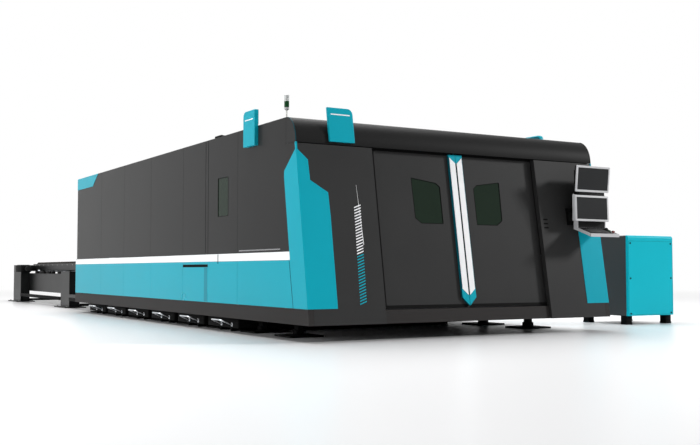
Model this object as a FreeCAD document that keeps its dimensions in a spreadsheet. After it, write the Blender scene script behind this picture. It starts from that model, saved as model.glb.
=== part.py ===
"""Enclosed fiber laser cutting machine with an exchange table, an operator console and a
power cabinet, as a parametric document.

Frame: millimetres, +X to the operator's right, +Y from the doors to the exchange table,
+Z up. The origin is on the floor, at the centre of the bed's four corner anchor holes.
Every size is a cell of the sheet "sizes". DERIVED gives names to what follows from them.
"""
import FreeCAD, Part
import Sketcher
import math
import os
import re

# --------------------------------------------------------------------------- driving sizes
SIZES = {
    # housing
    "housing_width": 4040, "housing_height": 2300, "front_overhang": 1005, "rear_overhang": 332,
    "skirt_step": 84, "skirt_bottom": 172, "skirt_top": 335, "stripe_bottom": 824, "stripe_top": 910,
    "lean_back": 300, "lean_rise": 1850, "canopy_height": 278, "canopy_depth": 215, "canopy_radius": 165,
    "skin": 4, "seam": 4, "tube": 60, "canopy_lip": 30, "canopy_overlap": 30,
    # seams of the side panels, from the front bottom edge
    "seam_a": 1735, "seam_b": 2616, "seam_c": 2700, "seam_d": 3463, "seam_e": 4721,
    "seam_f": 5946, "seam_g": 7143,
    "window_start": 2010, "window_length": 297, "window_sill": 1355, "window_height": 450,
    "glass": 8, "slot_height": 33, "slot_cover": 34,
    # bed, feet and slag trays
    "front_bay": 900, "bay_pitch": 1060, "tray_bays": 6, "foot_plate": 400, "foot_thickness": 20,
    "foot_inset": 207, "anchor_radius": 11, "anchor_offset": 150, "nut_radius": 55,
    "bed_bottom": 190, "bed_rise": 225, "beam_width": 300, "beam_outer_inset": 245, "beam_wall": 12,
    "bed_front_gap": 535, "bed_rear_gap": 37, "cross_height": 150, "cross_width": 120,
    "ledge_width": 115, "ledge_thickness": 15,
    "tray_gap": 70, "tray_bottom": 45, "tray_height": 110, "tray_wall": 4, "tray_reach": 3230,
    "tray_front_inset": 120, "skid_width": 40, "skid_span": 360, "grip_length": 330,
    "grip_bar": 22, "grip_height": 140, "grip_foot": 82, "grip_shift": 130, "grip_reach": 31,
    # pallets and exchange table
    "pallet_length": 6200, "pallet_inset": 700, "pallet_clear": 219, "travel_gap": 950,
    "pallet_frame": 139, "pallet_wall": 60, "bearer": 50, "frame_lift": 71,
    "rail_height": 655, "level_pitch": 250, "wheel_radius": 40, "wheel_width": 42,
    "wheel_clearance": 0.3, "axle_radius": 15, "axle_clearance": 0.08, "wheel_gap": 60,
    "axle_offset": 900,
    "block_length": 90, "block_width": 40, "block_skin": 10,
    "slat_count": 20, "slat_teeth": 5, "slat_thickness": 4, "tooth_depth": 34,
    "slat_proud": 40,
    "post_inset": 345, "post_width": 200, "near_post_start": 1839, "near_post_length": 649,
    "near_post_rise": 42, "far_post_lap": 355, "far_post_length": 767,
    "far_post_rise": 187, "post_wall": 10, "base_plate": 20, "base_margin": 100,
    "side_plate": 10, "link_bottom": 200, "side_plate_bottom": 254, "side_plate_drop": 5,
    "tie_bottom": 134, "tie_height": 61, "tie_width": 60, "portal_height": 50, "portal_width": 120,
    "end_beam_rise": 45, "end_beam_depth": 200, "end_beam_gap": 100,
    "lift_gap": 23, "lift_web": 12, "lift_flange": 92, "lift_flange_thickness": 15,
    "lift_cross": 60, "lift_crosses": 6, "lift_lead": 30, "lift_tail": 60,
    "column_width": 90, "column_wall": 8, "column_gap": 5, "column_clearance": 0.3,
    "shoe_height": 60, "shoe_width": 120, "shoe_drop": 5, "shoe_slack": 15, "mast_foot": 20,
    # doors
    "door_opening": 2230, "door_bottom": 320, "door_head_gap": 10, "door_recess": 64,
    "door_thickness": 40, "door_gap": 3, "door_skin": 8, "door_margin": 55,
    "hanger_length": 160, "hanger_height": 52, "hanger_gap": 0.3, "track_height": 60,
    "sill_recess": 30, "sill_depth": 90, "sill_gap": 8,
    "pane_inset": 235, "pane_width": 368, "pane_head": 292, "pane_height": 490,
    "pane_foot_width": 84, "pane_foot_height": 54, "pane_slant": 10,
    "pane_fall": 45, "pane_corner_width": 48, "pane_corner_height": 40,
    "trim_half": 93, "trim_proud": 26, "trim_head_gap": 4, "trim_tip": 335, "trim_shoulder": 425,
    "bar_gap": 11, "bar_width": 72, "bar_proud": 6, "bar_head_gap": 34, "bar_bottom": 518,
    "bar_chamfer": 64,
    # corner covers
    "cover_thickness": 4, "cover_side": 305, "cover_front": 339, "cover_neck": 133,
    "cover_spike": 14,
    # corners of the covers, down from the canopy
    "step_low_drop": 742, "step_drop": 509, "neck_low_drop": 389, "neck_top_drop": 179,
    "side_low_drop": 340, "side_top_drop": 278, "tip_drop": 75,
    "patch_top": 1231, "patch_bottom": 929, "patch_height": 190,
    # gantry, carriage and head
    "rail_section": 35, "rail_base_inset": 65, "rack_section": 30, "rack_inset": 60,
    "saddle_length": 700, "saddle_width": 270, "saddle_height": 70, "runner_height": 55,
    "runner_length": 140, "runner_gap": 8,
    "gantry_start": 2130, "beam_section": 300, "beam_height": 320, "beam_end": 15,
    "motor_size": 130, "motor_height": 260, "motor_overhang": 15, "motor_gap": 30,
    "carriage_width": 380, "carriage_height": 420, "carriage_thickness": 60,
    "beam_rail": 25, "beam_rail_pitch": 200, "carriage_gap": 0.3,
    "slide_width": 200, "slide_height": 520, "slide_thickness": 40,
    "slide_low": 60, "head_width": 120, "head_length": 420, "head_offset": 75, "tip_half": 52,
    "tip_height": 90, "collimator_width": 76, "collimator_length": 130,
    "nozzle_length": 40, "nozzle_drop": 40, "nozzle_radius": 14, "nozzle_tip": 5,
    "nozzle_tip_length": 12, "nozzle_bore": 1.5,
    # rear port and roof
    "port_side_gap": 40, "port_below": 55, "port_above": 285,
    # signs and beacon
    "sign_width": 300, "sign_height": 365, "sign_depth": 30, "sign_radius": 60,
    "front_sign_start": 386, "front_sign_rise": 25, "side_sign_start": 1192,
    "side_sign_drop": 215, "side_sign_depth": 45,
    "beacon_inset": 200, "beacon_start": 900, "beacon_radius": 28, "beacon_pole": 8,
    "beacon_pole_height": 141, "beacon_cap": 32, "beacon_lens": 67,
    # console
    "monitor_width": 530, "monitor_height": 305, "monitor_depth": 45,
    "bezel": 24, "bezel_depth": 4, "screen_depth": 3, "upper_monitor": 1639, "lower_monitor": 1295,
    "upper_lean": 30, "lower_lean": 8, "monitor_boss": 300,
    "console_body_inset": 90, "console_body_width": 425, "console_body_depth": 60, "body_gap": 15,
    "console_bottom": 1205, "console_top": 1900, "cheek": 12, "cheek_height": 405,
    "desk_depth": 225, "desk_thickness": 35, "desk_drop": 98,
    "key_width": 300, "key_depth": 120, "key_height": 16, "key_margin": 32,
    "console_pin_inset": 55, "console_pin_back": 30, "console_pin": 12, "console_pin_height": 200,
    "console_pin_base": 1250, "hinge_clearance": 0.08, "arm_depth": 16, "arm_reach": 120,
    "knuckle_gap": 0.3, "knuckle_half": 18, "knuckle_sweep": 27,
    "stop_radius": 19, "stop_height": 22, "start_radius": 12, "start_height": 12,
    "stem": 6, "stem_depth": 28, "stem_clearance": 0.1, "cap_clearance": 0.6,
    "stop_travel": 5, "start_travel": 3,
    "button_inset": 45, "button_pitch": 60,
    # cabinet
    "cabinet_start": 1165, "cabinet_width": 850, "cabinet_depth": 850, "cabinet_front": 828,
    "cabinet_bottom": 116, "cabinet_height": 1068, "cabinet_leg": 110, "cabinet_skin": 40,
    "cabinet_round": 36,
}

# --------------------------------------------------------------------------- derived names
DERIVED = {
    "half_width": "housing_width / 2",
    "foot_run": "front_bay + tray_bays * bay_pitch",
    "foot_y": "0 - foot_run / 2",
    "front_y": "foot_y - front_overhang",
    "rear_y": "foot_run / 2 + rear_overhang",
    "skirt_rear_y": "rear_y + skirt_step",
    "skin_x": "half_width - skin",
    "frame_x": "skin_x - tube",
    "foot_x": "half_width - foot_inset - foot_plate / 2",
    "beam_outer": "half_width - beam_outer_inset",
    "beam_inner": "beam_outer - beam_width",
    "bed_front": "front_y + bed_front_gap",
    "bed_rear": "rear_y - bed_rear_gap",
    "canopy_bottom": "housing_height - canopy_height",
    "front_setback": "lean_back * (canopy_bottom - skirt_bottom) / lean_rise",
    "canopy_back": "front_setback + canopy_depth",
    "roof_sheet": "housing_height - skin",
    "top_tube": "roof_sheet - tube",
    "frame_front": "front_y + canopy_back - canopy_overlap",
    "frame_rear": "rear_y - skin",
    "low_rail": "rail_height - level_pitch",
    "bed_top": "rail_height + bed_rise",
    "pallet_width": "housing_width - 2 * pallet_inset",
    "pallet_travel": "pallet_length + travel_gap",
    "table_y": "skirt_rear_y + pallet_clear",
    "inner_y": "table_y - pallet_travel",
    "post_outer": "half_width - post_inset",
    "post_inner": "post_outer - post_width",
    "near_post_y": "rear_y + near_post_start",
    "far_post_y": "table_y + pallet_length - far_post_lap",
    "near_post_height": "rail_height + near_post_rise",
    "far_post_height": "rail_height + far_post_rise",
    "side_plate_top": "rail_height - side_plate_drop",
    "end_beam_bottom": "rail_height + end_beam_rise",
    "post_middle": "(post_outer + post_inner) / 2",
    "web_outer": "post_inner - lift_gap",
    "lift_y": "skirt_rear_y + lift_lead",
    "lift_end": "table_y + pallet_length + lift_tail",
    "wheel_outer": "pallet_width / 2 + wheel_gap + wheel_width",
    "port_half": "wheel_outer + port_side_gap",
    "port_bottom": "low_rail - port_below",
    "port_top": "rail_height + port_above",
    "beam_y": "front_y + gantry_start",
    "saddle_bottom": "bed_top + runner_height",
    "beam_bottom": "saddle_bottom + saddle_height",
    "beam_front": "beam_y - beam_section / 2",
    "rail_front": "beam_front - beam_rail",
    "carriage_front": "rail_front - carriage_gap - carriage_thickness",
    "slide_front": "carriage_front - carriage_gap - slide_thickness",
    "head_y": "slide_front - head_offset",
    "nozzle_rest": "beam_bottom - nozzle_drop",
    "head_bottom": "nozzle_rest + nozzle_length",
    "opening_half": "door_opening / 2",
    "door_top": "canopy_bottom - door_head_gap",
    "pane_top": "door_top - pane_head",
    "pane_bottom": "pane_top - pane_height",
    "trim_top": "door_top - trim_head_gap",
    "bar_top": "trim_top - bar_head_gap",
    "door_width": "opening_half - door_gap / 2",
    "track_bottom": "door_top + hanger_height + hanger_gap",
    "cover_step_low": "canopy_bottom - step_low_drop",
    "cover_step": "canopy_bottom - step_drop",
    "cover_neck_low": "canopy_bottom - neck_low_drop",
    "cover_neck_top": "canopy_bottom - neck_top_drop",
    "cover_side_low": "canopy_bottom - side_low_drop",
    "cover_side_top": "canopy_bottom - side_top_drop",
    "cover_tip": "canopy_bottom - tip_drop",
    "front_sign_bottom": "canopy_bottom + front_sign_rise",
    "side_sign_bottom": "housing_height - side_sign_drop",
    "console_x": "half_width - monitor_width",
    "body_x": "console_x + console_body_inset",
    "body_end": "body_x + console_body_width",
    "monitor_y": "front_y",
    "body_y": "monitor_y + monitor_depth + body_gap",
    "body_back": "body_y + console_body_depth",
    "desk_y": "body_y - desk_depth",
    "pin_x": "console_x + console_pin_inset",
    "pin_y": "body_back + console_pin_back",
    "knuckle_low": "console_pin_base + console_pin_height / 4 + knuckle_gap",
    "knuckle_height": "console_pin_height / 2 - 2 * knuckle_gap",
    "stop_y": "desk_y + button_inset",
    "start_y": "desk_y + button_inset + button_pitch",
    "button_x": "body_end - button_inset",
    "cabinet_x": "half_width + cabinet_start",
    "cabinet_y": "front_y + cabinet_front",
}

# A formula is text over these names and becomes an expression of the sheet's cells.
WORD = re.compile(r"[a-z][a-z_]*")


def formula(text):
    """Turn a formula into an expression of the sheet's cells."""
    def name(match):
        word = match.group()
        if word in DERIVED:
            return "(" + formula(DERIVED[word]) + ")"
        return "sizes." + word if word in SIZES else word
    return WORD.sub(name, str(text))


doc = FreeCAD.newDocument("laser_cutting_machine")
sheet = doc.addObject("Spreadsheet::Sheet", "sizes")
for row, (alias, value) in enumerate(SIZES.items(), 1):
    sheet.set(f"A{row}", alias)
    sheet.set(f"B{row}", str(value))
    sheet.setAlias(f"B{row}", alias)
doc.recompute()

NODES = []


def size(alias):
    """A cell's number, for counts and for choosing edges."""
    return float(sheet.get(alias))


def bind(thing, **formulas):
    """Bind properties of an object to formulas. Double underscores stand for dots."""
    for path, text in formulas.items():
        thing.setExpression(path.replace("__", "."), formula(text))
    return thing


def place(thing, x="0", y="0", z="0"):
    """Bind an object's place."""
    return bind(thing, Placement__Base__x=x, Placement__Base__y=y, Placement__Base__z=z)


def box(name, x, y, z, dx, dy, dz):
    """A block from its low corner and its three sizes."""
    block = doc.addObject("Part::Box", name)
    bind(block, Length=dx, Width=dy, Height=dz)
    return place(block, x, y, z)


TURNS = {
    "X": FreeCAD.Rotation(FreeCAD.Vector(0, 1, 0), 90),
    "Y": FreeCAD.Rotation(FreeCAD.Vector(1, 0, 0), -90),
    "Z": FreeCAD.Rotation(),
}


def cylinder(name, x, y, z, radius, height, along="Z"):
    """A round bar that starts at a point and runs along +X, +Y or +Z."""
    bar = doc.addObject("Part::Cylinder", name)
    bar.Placement = FreeCAD.Placement(FreeCAD.Vector(), TURNS[along])
    bind(bar, Radius=radius, Height=height)
    return place(bar, x, y, z)


def fuse(name, *shapes):
    """One welded or moulded solid."""
    joined = doc.addObject("Part::MultiFuse", name)
    joined.Shapes = list(shapes)
    joined.Refine = True
    return joined


def cut(name, base, *tools):
    """A solid with pieces taken away."""
    tool = tools[0] if len(tools) == 1 else fuse(name + "_tools", *tools)
    result = doc.addObject("Part::Cut", name)
    result.Base = base
    result.Tool = tool
    result.Refine = True
    return result


def common(name, first, second):
    """What two solids share."""
    result = doc.addObject("Part::Common", name)
    result.Base = first
    result.Tool = second
    result.Refine = True
    return result


def group(name, *shapes):
    """Separate solids that share one node."""
    result = doc.addObject("Part::Compound", name)
    result.Links = list(shapes)
    return result


def mirrored(name, source):
    """The copy of a piece on the other side of the machine's middle plane."""
    result = doc.addObject("Part::Mirroring", name)
    result.Source = source
    result.Base = FreeCAD.Vector(0, 0, 0)
    result.Normal = FreeCAD.Vector(1, 0, 0)
    return result


def both(name, source):
    """A piece and its mirror image, as one group."""
    return group(name, source, mirrored(name + "_mirror", source))


def node(label, thing):
    """Name the object that a sub-part ends in."""
    thing.Label = label
    NODES.append(thing)
    return thing


def origin_plane(body, role):
    return next(p for p in body.Origin.OriginFeatures if p.Role == role)


def outline(sketch, points):
    """A closed outline of straight edges, each corner held by two formulas from the origin."""
    count = len(points)
    rough = [FreeCAD.Vector(math.cos(2 * math.pi * k / count), math.sin(2 * math.pi * k / count), 0)
             for k in range(count)]
    for k in range(count):
        sketch.addGeometry(Part.LineSegment(rough[k], rough[(k + 1) % count]), False)
    for k in range(count):
        sketch.addConstraint(Sketcher.Constraint("Coincident", k, 2, (k + 1) % count, 1))
    for k, (across, up) in enumerate(points):
        for kind, text in (("DistanceX", across), ("DistanceY", up)):
            index = sketch.addConstraint(Sketcher.Constraint(kind, -1, 1, k, 1, 1.0))
            sketch.setExpression(f"Constraints[{index}]", formula(text))


def padded(name, plane, points, start, length):
    """A PartDesign body: an outline on an origin plane, padded from start over length.

    plane XY pads along +Z, XZ along +Y and YZ along +X."""
    body = doc.addObject("PartDesign::Body", name)
    sketch = body.newObject("Sketcher::SketchObject", name + "_outline")
    sketch.AttachmentSupport = (origin_plane(body, plane + "_Plane"), [""])
    sketch.MapMode = "FlatFace"
    outline(sketch, points)
    pad = body.newObject("PartDesign::Pad", name + "_pad")
    pad.Profile = sketch
    pad.Reversed = plane == "XZ"
    bind(pad, Length=length)
    axis = {"XY": "z", "XZ": "y", "YZ": "x"}[plane]
    body.setExpression("Placement.Base." + axis, formula(start))
    return body


def rounded(body, name, radius, *spots):
    """Fillet the edges of a body that pass through the given points."""
    doc.recompute()
    base = body.Tip
    shape = base.Shape
    inverse = body.Placement.inverse()
    names = []
    for spot in spots:
        point = Part.Vertex(inverse.multVec(spot))
        gaps = [(edge.distToShape(point)[0], k) for k, edge in enumerate(shape.Edges, 1)]
        names.append(f"Edge{min(gaps)[1]}")
    fillet = body.newObject("PartDesign::Fillet", name)
    fillet.Base = (base, names)
    bind(fillet, Radius=radius)
    body.Tip = fillet
    return body


def frustum(name, x, y, z, low_half, high_half, height):
    """An upright taper from one square to another, centred on a vertical axis."""
    taper = doc.addObject("Part::Wedge", name)
    upright = FreeCAD.Rotation(FreeCAD.Vector(1, 0, 0), 90)
    taper.Placement = FreeCAD.Placement(FreeCAD.Vector(), upright)
    bind(taper, Xmin=f"0 - {low_half}", Xmax=low_half, Zmin=f"0 - {low_half}", Zmax=low_half,
         X2min=f"0 - {high_half}", X2max=high_half, Z2min=f"0 - {high_half}", Z2max=high_half,
         Ymin="0", Ymax=height)
    return place(taper, x, y, z)


def square(half):
    """The corners of a square about the origin."""
    return [(f"0 - {half}", f"0 - {half}"), (half, f"0 - {half}"), (half, half),
            (f"0 - {half}", half)]


PROBE = doc.addObject("App::FeaturePython", "probe")
PROBE.addProperty("App::PropertyFloat", "value")


def number(text):
    """The present value of a formula."""
    return float(PROBE.evalExpression(formula(text)))


def front(height, offset="0"):
    """Where the leaning front lies at a height, moved back by an offset."""
    return (f"(front_y + lean_back * (({height}) - skirt_bottom) / lean_rise"
            f" + ({offset}))")


def leaning(name, low, high, near, far, start, length):
    """A slab parallel to the leaning front, between two heights and two offsets."""
    points = [(front(low, near), low), (front(low, far), low),
              (front(high, far), high), (front(high, near), high)]
    return padded(name, "YZ", points, start, length)


# --------------------------------------------------------------------------- bed and feet
BAYS = int(size("tray_bays"))
FOOT_ROWS = ["foot_y"] + [f"foot_y + front_bay + {k} * bay_pitch" for k in range(BAYS + 1)]


def bed_frame():
    """Two box beams tied by cross members, with a ledge along each beam for the pallet."""
    pieces = []
    for side, low in (("left", "0 - beam_outer"), ("right", "beam_inner")):
        outer = box("bed_beam_" + side, low, "bed_front", "bed_bottom",
                    "beam_width", "bed_rear - bed_front", "bed_top - bed_bottom")
        hollow = box("bed_hollow_" + side, f"{low} + beam_wall", "bed_front - 1",
                     "bed_bottom + beam_wall", "beam_width - 2 * beam_wall",
                     "bed_rear - bed_front + 2", "bed_top - bed_bottom - 2 * beam_wall")
        pieces.append(cut("bed_tube_" + side, outer, hollow))
    for side, low in (("left", "0 - beam_inner"), ("right", "beam_inner - ledge_width")):
        pieces.append(box("ledge_" + side, low, "bed_front", "low_rail - ledge_thickness",
                          "ledge_width", "bed_rear - bed_front", "ledge_thickness"))
    for k, row_y in enumerate(FOOT_ROWS):
        pieces.append(box(f"bed_cross_{k}", "0 - beam_inner", f"{row_y} - cross_width / 2",
                          "bed_bottom", "2 * beam_inner", "cross_width", "cross_height"))
    return fuse("bed", *pieces)


def foot(k, row_y):
    """A floor plate and a tall hexagonal jacking nut under the beam. The corner feet are anchored
    to the floor through a hole."""
    plate = box(f"foot_plate_{k}", "0 - foot_x - foot_plate / 2", f"{row_y} - foot_plate / 2", "0",
                "foot_plate", "foot_plate", "foot_thickness")
    if k in (0, len(FOOT_ROWS) - 1):
        hole = cylinder(f"foot_hole_{k}", "0 - foot_x - anchor_offset", row_y, "0 - 1",
                        "anchor_radius", "foot_thickness + 2")
        plate = cut(f"foot_base_{k}", plate, hole)
    nut = doc.addObject("Part::Prism", f"foot_nut_{k}")
    nut.Polygon = 6
    bind(nut, Circumradius="nut_radius", Height="bed_bottom - foot_thickness")
    place(nut, "0 - foot_x", row_y, "foot_thickness")
    return fuse(f"foot_{k}", plate, nut)


def guide_rails():
    """A linear rail and a gear rack on each beam."""
    rail = box("bed_rail", "0 - beam_outer + rail_base_inset", "bed_front + beam_width", "bed_top",
               "rail_section", "bed_rear - bed_front - beam_width", "rail_section")
    rack = box("bed_rack", "0 - beam_inner - rack_inset - rack_section", "bed_front + beam_width",
               "bed_top", "rack_section", "bed_rear - bed_front - beam_width", "rack_section")
    return both("rails", group("rail_and_rack", rail, rack))


def slag_tray(k):
    """An open pan on two skids under one bay, with a bow handle that rises past the skirt. The
    handle sits towards the front of its bay."""
    low_y = f"(foot_y + front_bay + {k} * bay_pitch + tray_gap)"
    width = "(bay_pitch - 2 * tray_gap)"
    middle = f"({low_y} + {width} / 2)"
    face = "(0 - half_width + tray_front_inset)"
    pan = box(f"tray_pan_{k}", face, low_y, "tray_bottom", "tray_reach", width, "tray_height")
    hollow = box(f"tray_hollow_{k}", f"{face} + tray_wall", f"{low_y} + tray_wall",
                 "tray_bottom + tray_wall", "tray_reach - 2 * tray_wall",
                 f"{width} - 2 * tray_wall", "tray_height")
    pieces = [cut(f"tray_shell_{k}", pan, hollow)]
    for end, shift in (("near", "0 - skid_span / 2"), ("far", "skid_span / 2 - skid_width")):
        pieces.append(box(f"tray_skid_{end}_{k}", f"{face} + skid_width", f"{middle} + {shift}", "0",
                          "tray_reach - 2 * skid_width", "skid_width", "tray_bottom"))
    near = f"({middle} - grip_shift - grip_length / 2)"
    grip = "(0 - half_width - grip_reach)"
    arm = [(face, "grip_foot - grip_bar / 2"), (face, "grip_foot + grip_bar / 2"),
           (f"{grip} + grip_bar", "grip_height + grip_bar / 2"),
           (grip, "grip_height + grip_bar / 2"), (grip, "grip_height - grip_bar / 2"),
           (f"{grip} + grip_bar", "grip_height - grip_bar / 2")]
    for end, start in (("near", near), ("far", f"{near} + grip_length - grip_bar")):
        pieces.append(padded(f"tray_arm_{end}_{k}", "XZ", arm, start, "grip_bar"))
    pieces.append(box(f"tray_grip_{k}", grip, near, "grip_height - grip_bar / 2", "grip_bar",
                      "grip_length", "grip_bar"))
    return fuse(f"tray_{k}", *pieces)


# --------------------------------------------------------------------------- housing
POSTS = ["frame_front", "front_y + seam_a - tube / 2", "front_y + (seam_b + seam_c - tube) / 2",
         "front_y + seam_d - tube / 2", "front_y + seam_f - tube / 2", "frame_rear - tube"]
MID_TUBE = "(stripe_bottom + stripe_top - tube) / 2"


def housing_frame():
    """Welded square tube: side rails at three heights, posts and roof tubes at the seams, brackets
    to the bed, and the box rail that the doors hang from."""
    side = []
    for name, start, end, level in (
            ("low", "front_y + sill_recess + tube", "skirt_rear_y - skin", "bed_bottom"),
            ("mid", "frame_front", "skirt_rear_y - skin", MID_TUBE),
            ("top", "frame_front", "frame_rear", "top_tube")):
        side.append(box("frame_rail_" + name, "0 - skin_x", start, level, "tube",
                        f"{end} - ({start})", "tube"))
    for k, post_y in enumerate(POSTS):
        side.append(box(f"frame_post_{k}", "0 - skin_x", post_y, "bed_bottom", "tube", "tube",
                        "top_tube - bed_bottom"))
    for k, row_y in enumerate((FOOT_ROWS[0], FOOT_ROWS[len(FOOT_ROWS) // 2], FOOT_ROWS[-1])):
        side.append(box(f"frame_bracket_{k}", "0 - frame_x", f"{row_y} - tube / 2", "bed_bottom",
                        "frame_x - beam_outer", "tube", "tube"))
    track_y = front("track_bottom", "door_recess")
    side.append(box("track_bracket", "0 - skin_x", track_y, "track_bottom", "tube",
                    f"frame_front + tube - {track_y}", "track_height"))
    left = fuse("frame_side", *side)
    right = mirrored("frame_side_mirror", left)
    across = [box(f"roof_tube_{k}", "0 - frame_x", post_y, "top_tube", "2 * frame_x", "tube", "tube")
              for k, post_y in enumerate(POSTS)]
    track = box("door_track", "0 - frame_x", track_y, "track_bottom", "2 * frame_x",
                "door_thickness", "track_height")
    return fuse("frame_weldment", left, right, track, *across)


def plinth_skirt():
    """The dark base band: a side wall with a short wrap at each corner, and the sill of the doors."""
    points = [(front("skirt_bottom"), "skirt_bottom"), ("skirt_rear_y - skin", "skirt_bottom"),
              ("skirt_rear_y - skin", "skirt_top - seam"),
              (front("skirt_top - seam"), "skirt_top - seam")]
    wall = padded("skirt_wall", "YZ", points, "0 - half_width", "skin")
    wrap = leaning("skirt_wrap", "skirt_bottom", "skirt_top - seam", "0", "skin",
                   "0 - half_width + skin / 2", "tube")
    sides = both("skirt_sides", fuse("skirt_side", wall, wrap))
    sill = leaning("sill", "skirt_bottom", "door_bottom - sill_gap", "sill_recess",
                   "sill_recess + sill_depth", "0 - frame_x", "2 * frame_x")
    return group("skirt", sides, sill)


def side_sheet(name, start, end, low, high):
    """A flat side panel between two seams, short of each by half a seam."""
    return box(name, "0 - half_width", f"front_y + {start} + seam / 2", f"{low} + seam / 2", "skin",
               f"{end} - ({start}) - seam", f"{high} - ({low}) - seam")


def upper_side_panels():
    """Dark panels above the stripe, with the window in the second one."""
    points = [(front("stripe_top + seam / 2"), "stripe_top + seam / 2"),
              ("front_y + seam_a - seam / 2", "stripe_top + seam / 2"),
              ("front_y + seam_a - seam / 2", "housing_height"),
              ("front_y + canopy_back + seam / 2", "housing_height"),
              ("front_y + canopy_back + seam / 2", "canopy_bottom - seam / 2"),
              (front("canopy_bottom - seam / 2"), "canopy_bottom - seam / 2")]
    panels = [padded("side_panel_first", "YZ", points, "0 - half_width", "skin")]
    second = side_sheet("side_panel_second", "seam_a", "seam_b", "stripe_top",
                        "(housing_height + seam / 2)")
    window = box("side_window_hole", "0 - half_width - 1", "front_y + window_start", "window_sill",
                 "skin + 2", "window_length", "window_height")
    panels.append(cut("side_panel_window", second, window))
    panels.append(box("side_panel_post", "0 - half_width + skin / 2", "front_y + seam_b + seam",
                      "stripe_top + seam / 2", "skin / 2", "seam_c - seam_b - 2 * seam",
                      "housing_height - stripe_top - seam / 2"))
    ends = ["seam_c", "seam_d", "seam_e", "seam_f", "seam_g", "(rear_y - front_y + seam / 2)"]
    for k, (start, end) in enumerate(zip(ends, ends[1:])):
        panels.append(side_sheet(f"side_panel_{k}", start, end, "stripe_top",
                                 "(housing_height + seam / 2)"))
    return both("upper_panels", group("upper_side", *panels))


def lower_side_panels():
    """Teal panels below the stripe. Behind the service flap's slot they are open."""
    points = [(front("skirt_top"), "skirt_top"), ("front_y + seam_a - seam / 2", "skirt_top"),
              ("front_y + seam_a - seam / 2", "stripe_bottom - seam / 2"),
              (front("stripe_bottom - seam / 2"), "stripe_bottom - seam / 2")]
    first = padded("low_panel_first", "YZ", points, "0 - half_width", "skin")
    panels = [first, side_sheet("low_panel_second", "seam_a", "seam_b", "(skirt_top - seam / 2)",
                                "stripe_bottom")]
    ends = ["seam_d", "seam_e", "seam_f", "seam_g", "(skirt_rear_y - front_y - seam / 2)"]
    for k, (start, end) in enumerate(zip(ends, ends[1:])):
        panels.append(side_sheet(f"low_panel_{k}", start, end, "(skirt_top - seam / 2)",
                                 "stripe_bottom"))
    plain = side_sheet("low_panel_plain", "seam_b", "seam_d", "(skirt_top - seam / 2)",
                       "stripe_bottom")
    slot_cover = side_sheet("slot_cover", "seam_b", "seam_d", "(stripe_bottom - slot_cover)",
                            "stripe_bottom")
    left = group("lower_left", *panels, slot_cover)
    right = mirrored("lower_right", group("lower_plain", *panels, plain))
    return group("lower_panels", left, right)


def service_flap():
    """The flap below the slot on the left side, hinged along its bottom edge."""
    return box("flap", "0 - half_width", "front_y + seam_b + seam / 2", "skirt_top", "skin",
               "seam_d - seam_b - seam", "stripe_bottom - slot_cover - slot_height - skirt_top")


def side_stripes():
    """The white strip along each side, a little proud of the panels."""
    points = [(front("stripe_bottom"), "stripe_bottom"),
              ("skirt_rear_y - skin", "stripe_bottom"), ("skirt_rear_y - skin", "stripe_top"),
              (front("stripe_top"), "stripe_top")]
    return both("stripes", padded("stripe", "YZ", points, "0 - half_width", "skin"))


def front_panels():
    """The fixed panel beside each door, with a return along the door's opening."""
    edge = "(0 - opening_half)"
    wrap = "(0 - half_width + tube + skin)"
    points = [(wrap, "skirt_bottom"), (edge, "skirt_bottom"), (edge, "door_top"),
              ("0 - skin_x", "door_top"), ("0 - skin_x", "skirt_top"), (wrap, "skirt_top")]
    prism = padded("front_prism", "XZ", points, "front_y - 1", "front_setback + canopy_depth")
    slab = leaning("front_slab", "skirt_bottom", "door_top", "0", "skin", "0 - skin_x",
                   "skin_x - opening_half")
    sheet_piece = common("front_sheet", slab, prism)
    low_return = leaning("front_return_low", "skirt_bottom", "door_bottom", "0", "sill_recess",
                         f"{edge} - skin", "skin")
    high_return = leaning("front_return_high", "door_bottom", "door_top", "0",
                          "door_recess - door_gap", f"{edge} - skin", "skin")
    return both("fronts", fuse("front_side", sheet_piece, low_return, high_return))


def front_canopy():
    """The rounded hood over the doors: an open-backed shell with end plates and a lip."""
    top_corner = front("housing_height")
    outer = padded("canopy_outer", "YZ",
                   [(front("canopy_bottom"), "canopy_bottom"),
                    ("front_y + canopy_back", "canopy_bottom"),
                    ("front_y + canopy_back", "housing_height"), (top_corner, "housing_height")],
                   "0 - half_width", "housing_width")
    outer = rounded(outer, "canopy_round", "canopy_radius",
                    FreeCAD.Vector(0, number(top_corner), number("housing_height")))
    inner = padded("canopy_inner", "YZ",
                   [(front("canopy_bottom", "canopy_lip"), "canopy_bottom - 1"),
                    ("front_y + canopy_back + 1", "canopy_bottom - 1"),
                    ("front_y + canopy_back + 1", "roof_sheet"),
                    (front("roof_sheet", "skin"), "roof_sheet"),
                    (front("canopy_bottom + skin", "skin"), "canopy_bottom + skin"),
                    (front("canopy_bottom", "canopy_lip"), "canopy_bottom + skin")],
                   "0 - skin_x", "2 * skin_x")
    inner = rounded(inner, "canopy_inner_round", "canopy_radius - skin",
                    FreeCAD.Vector(0, number(front("roof_sheet", "skin")), number("roof_sheet")))
    return cut("canopy", outer, inner)


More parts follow.
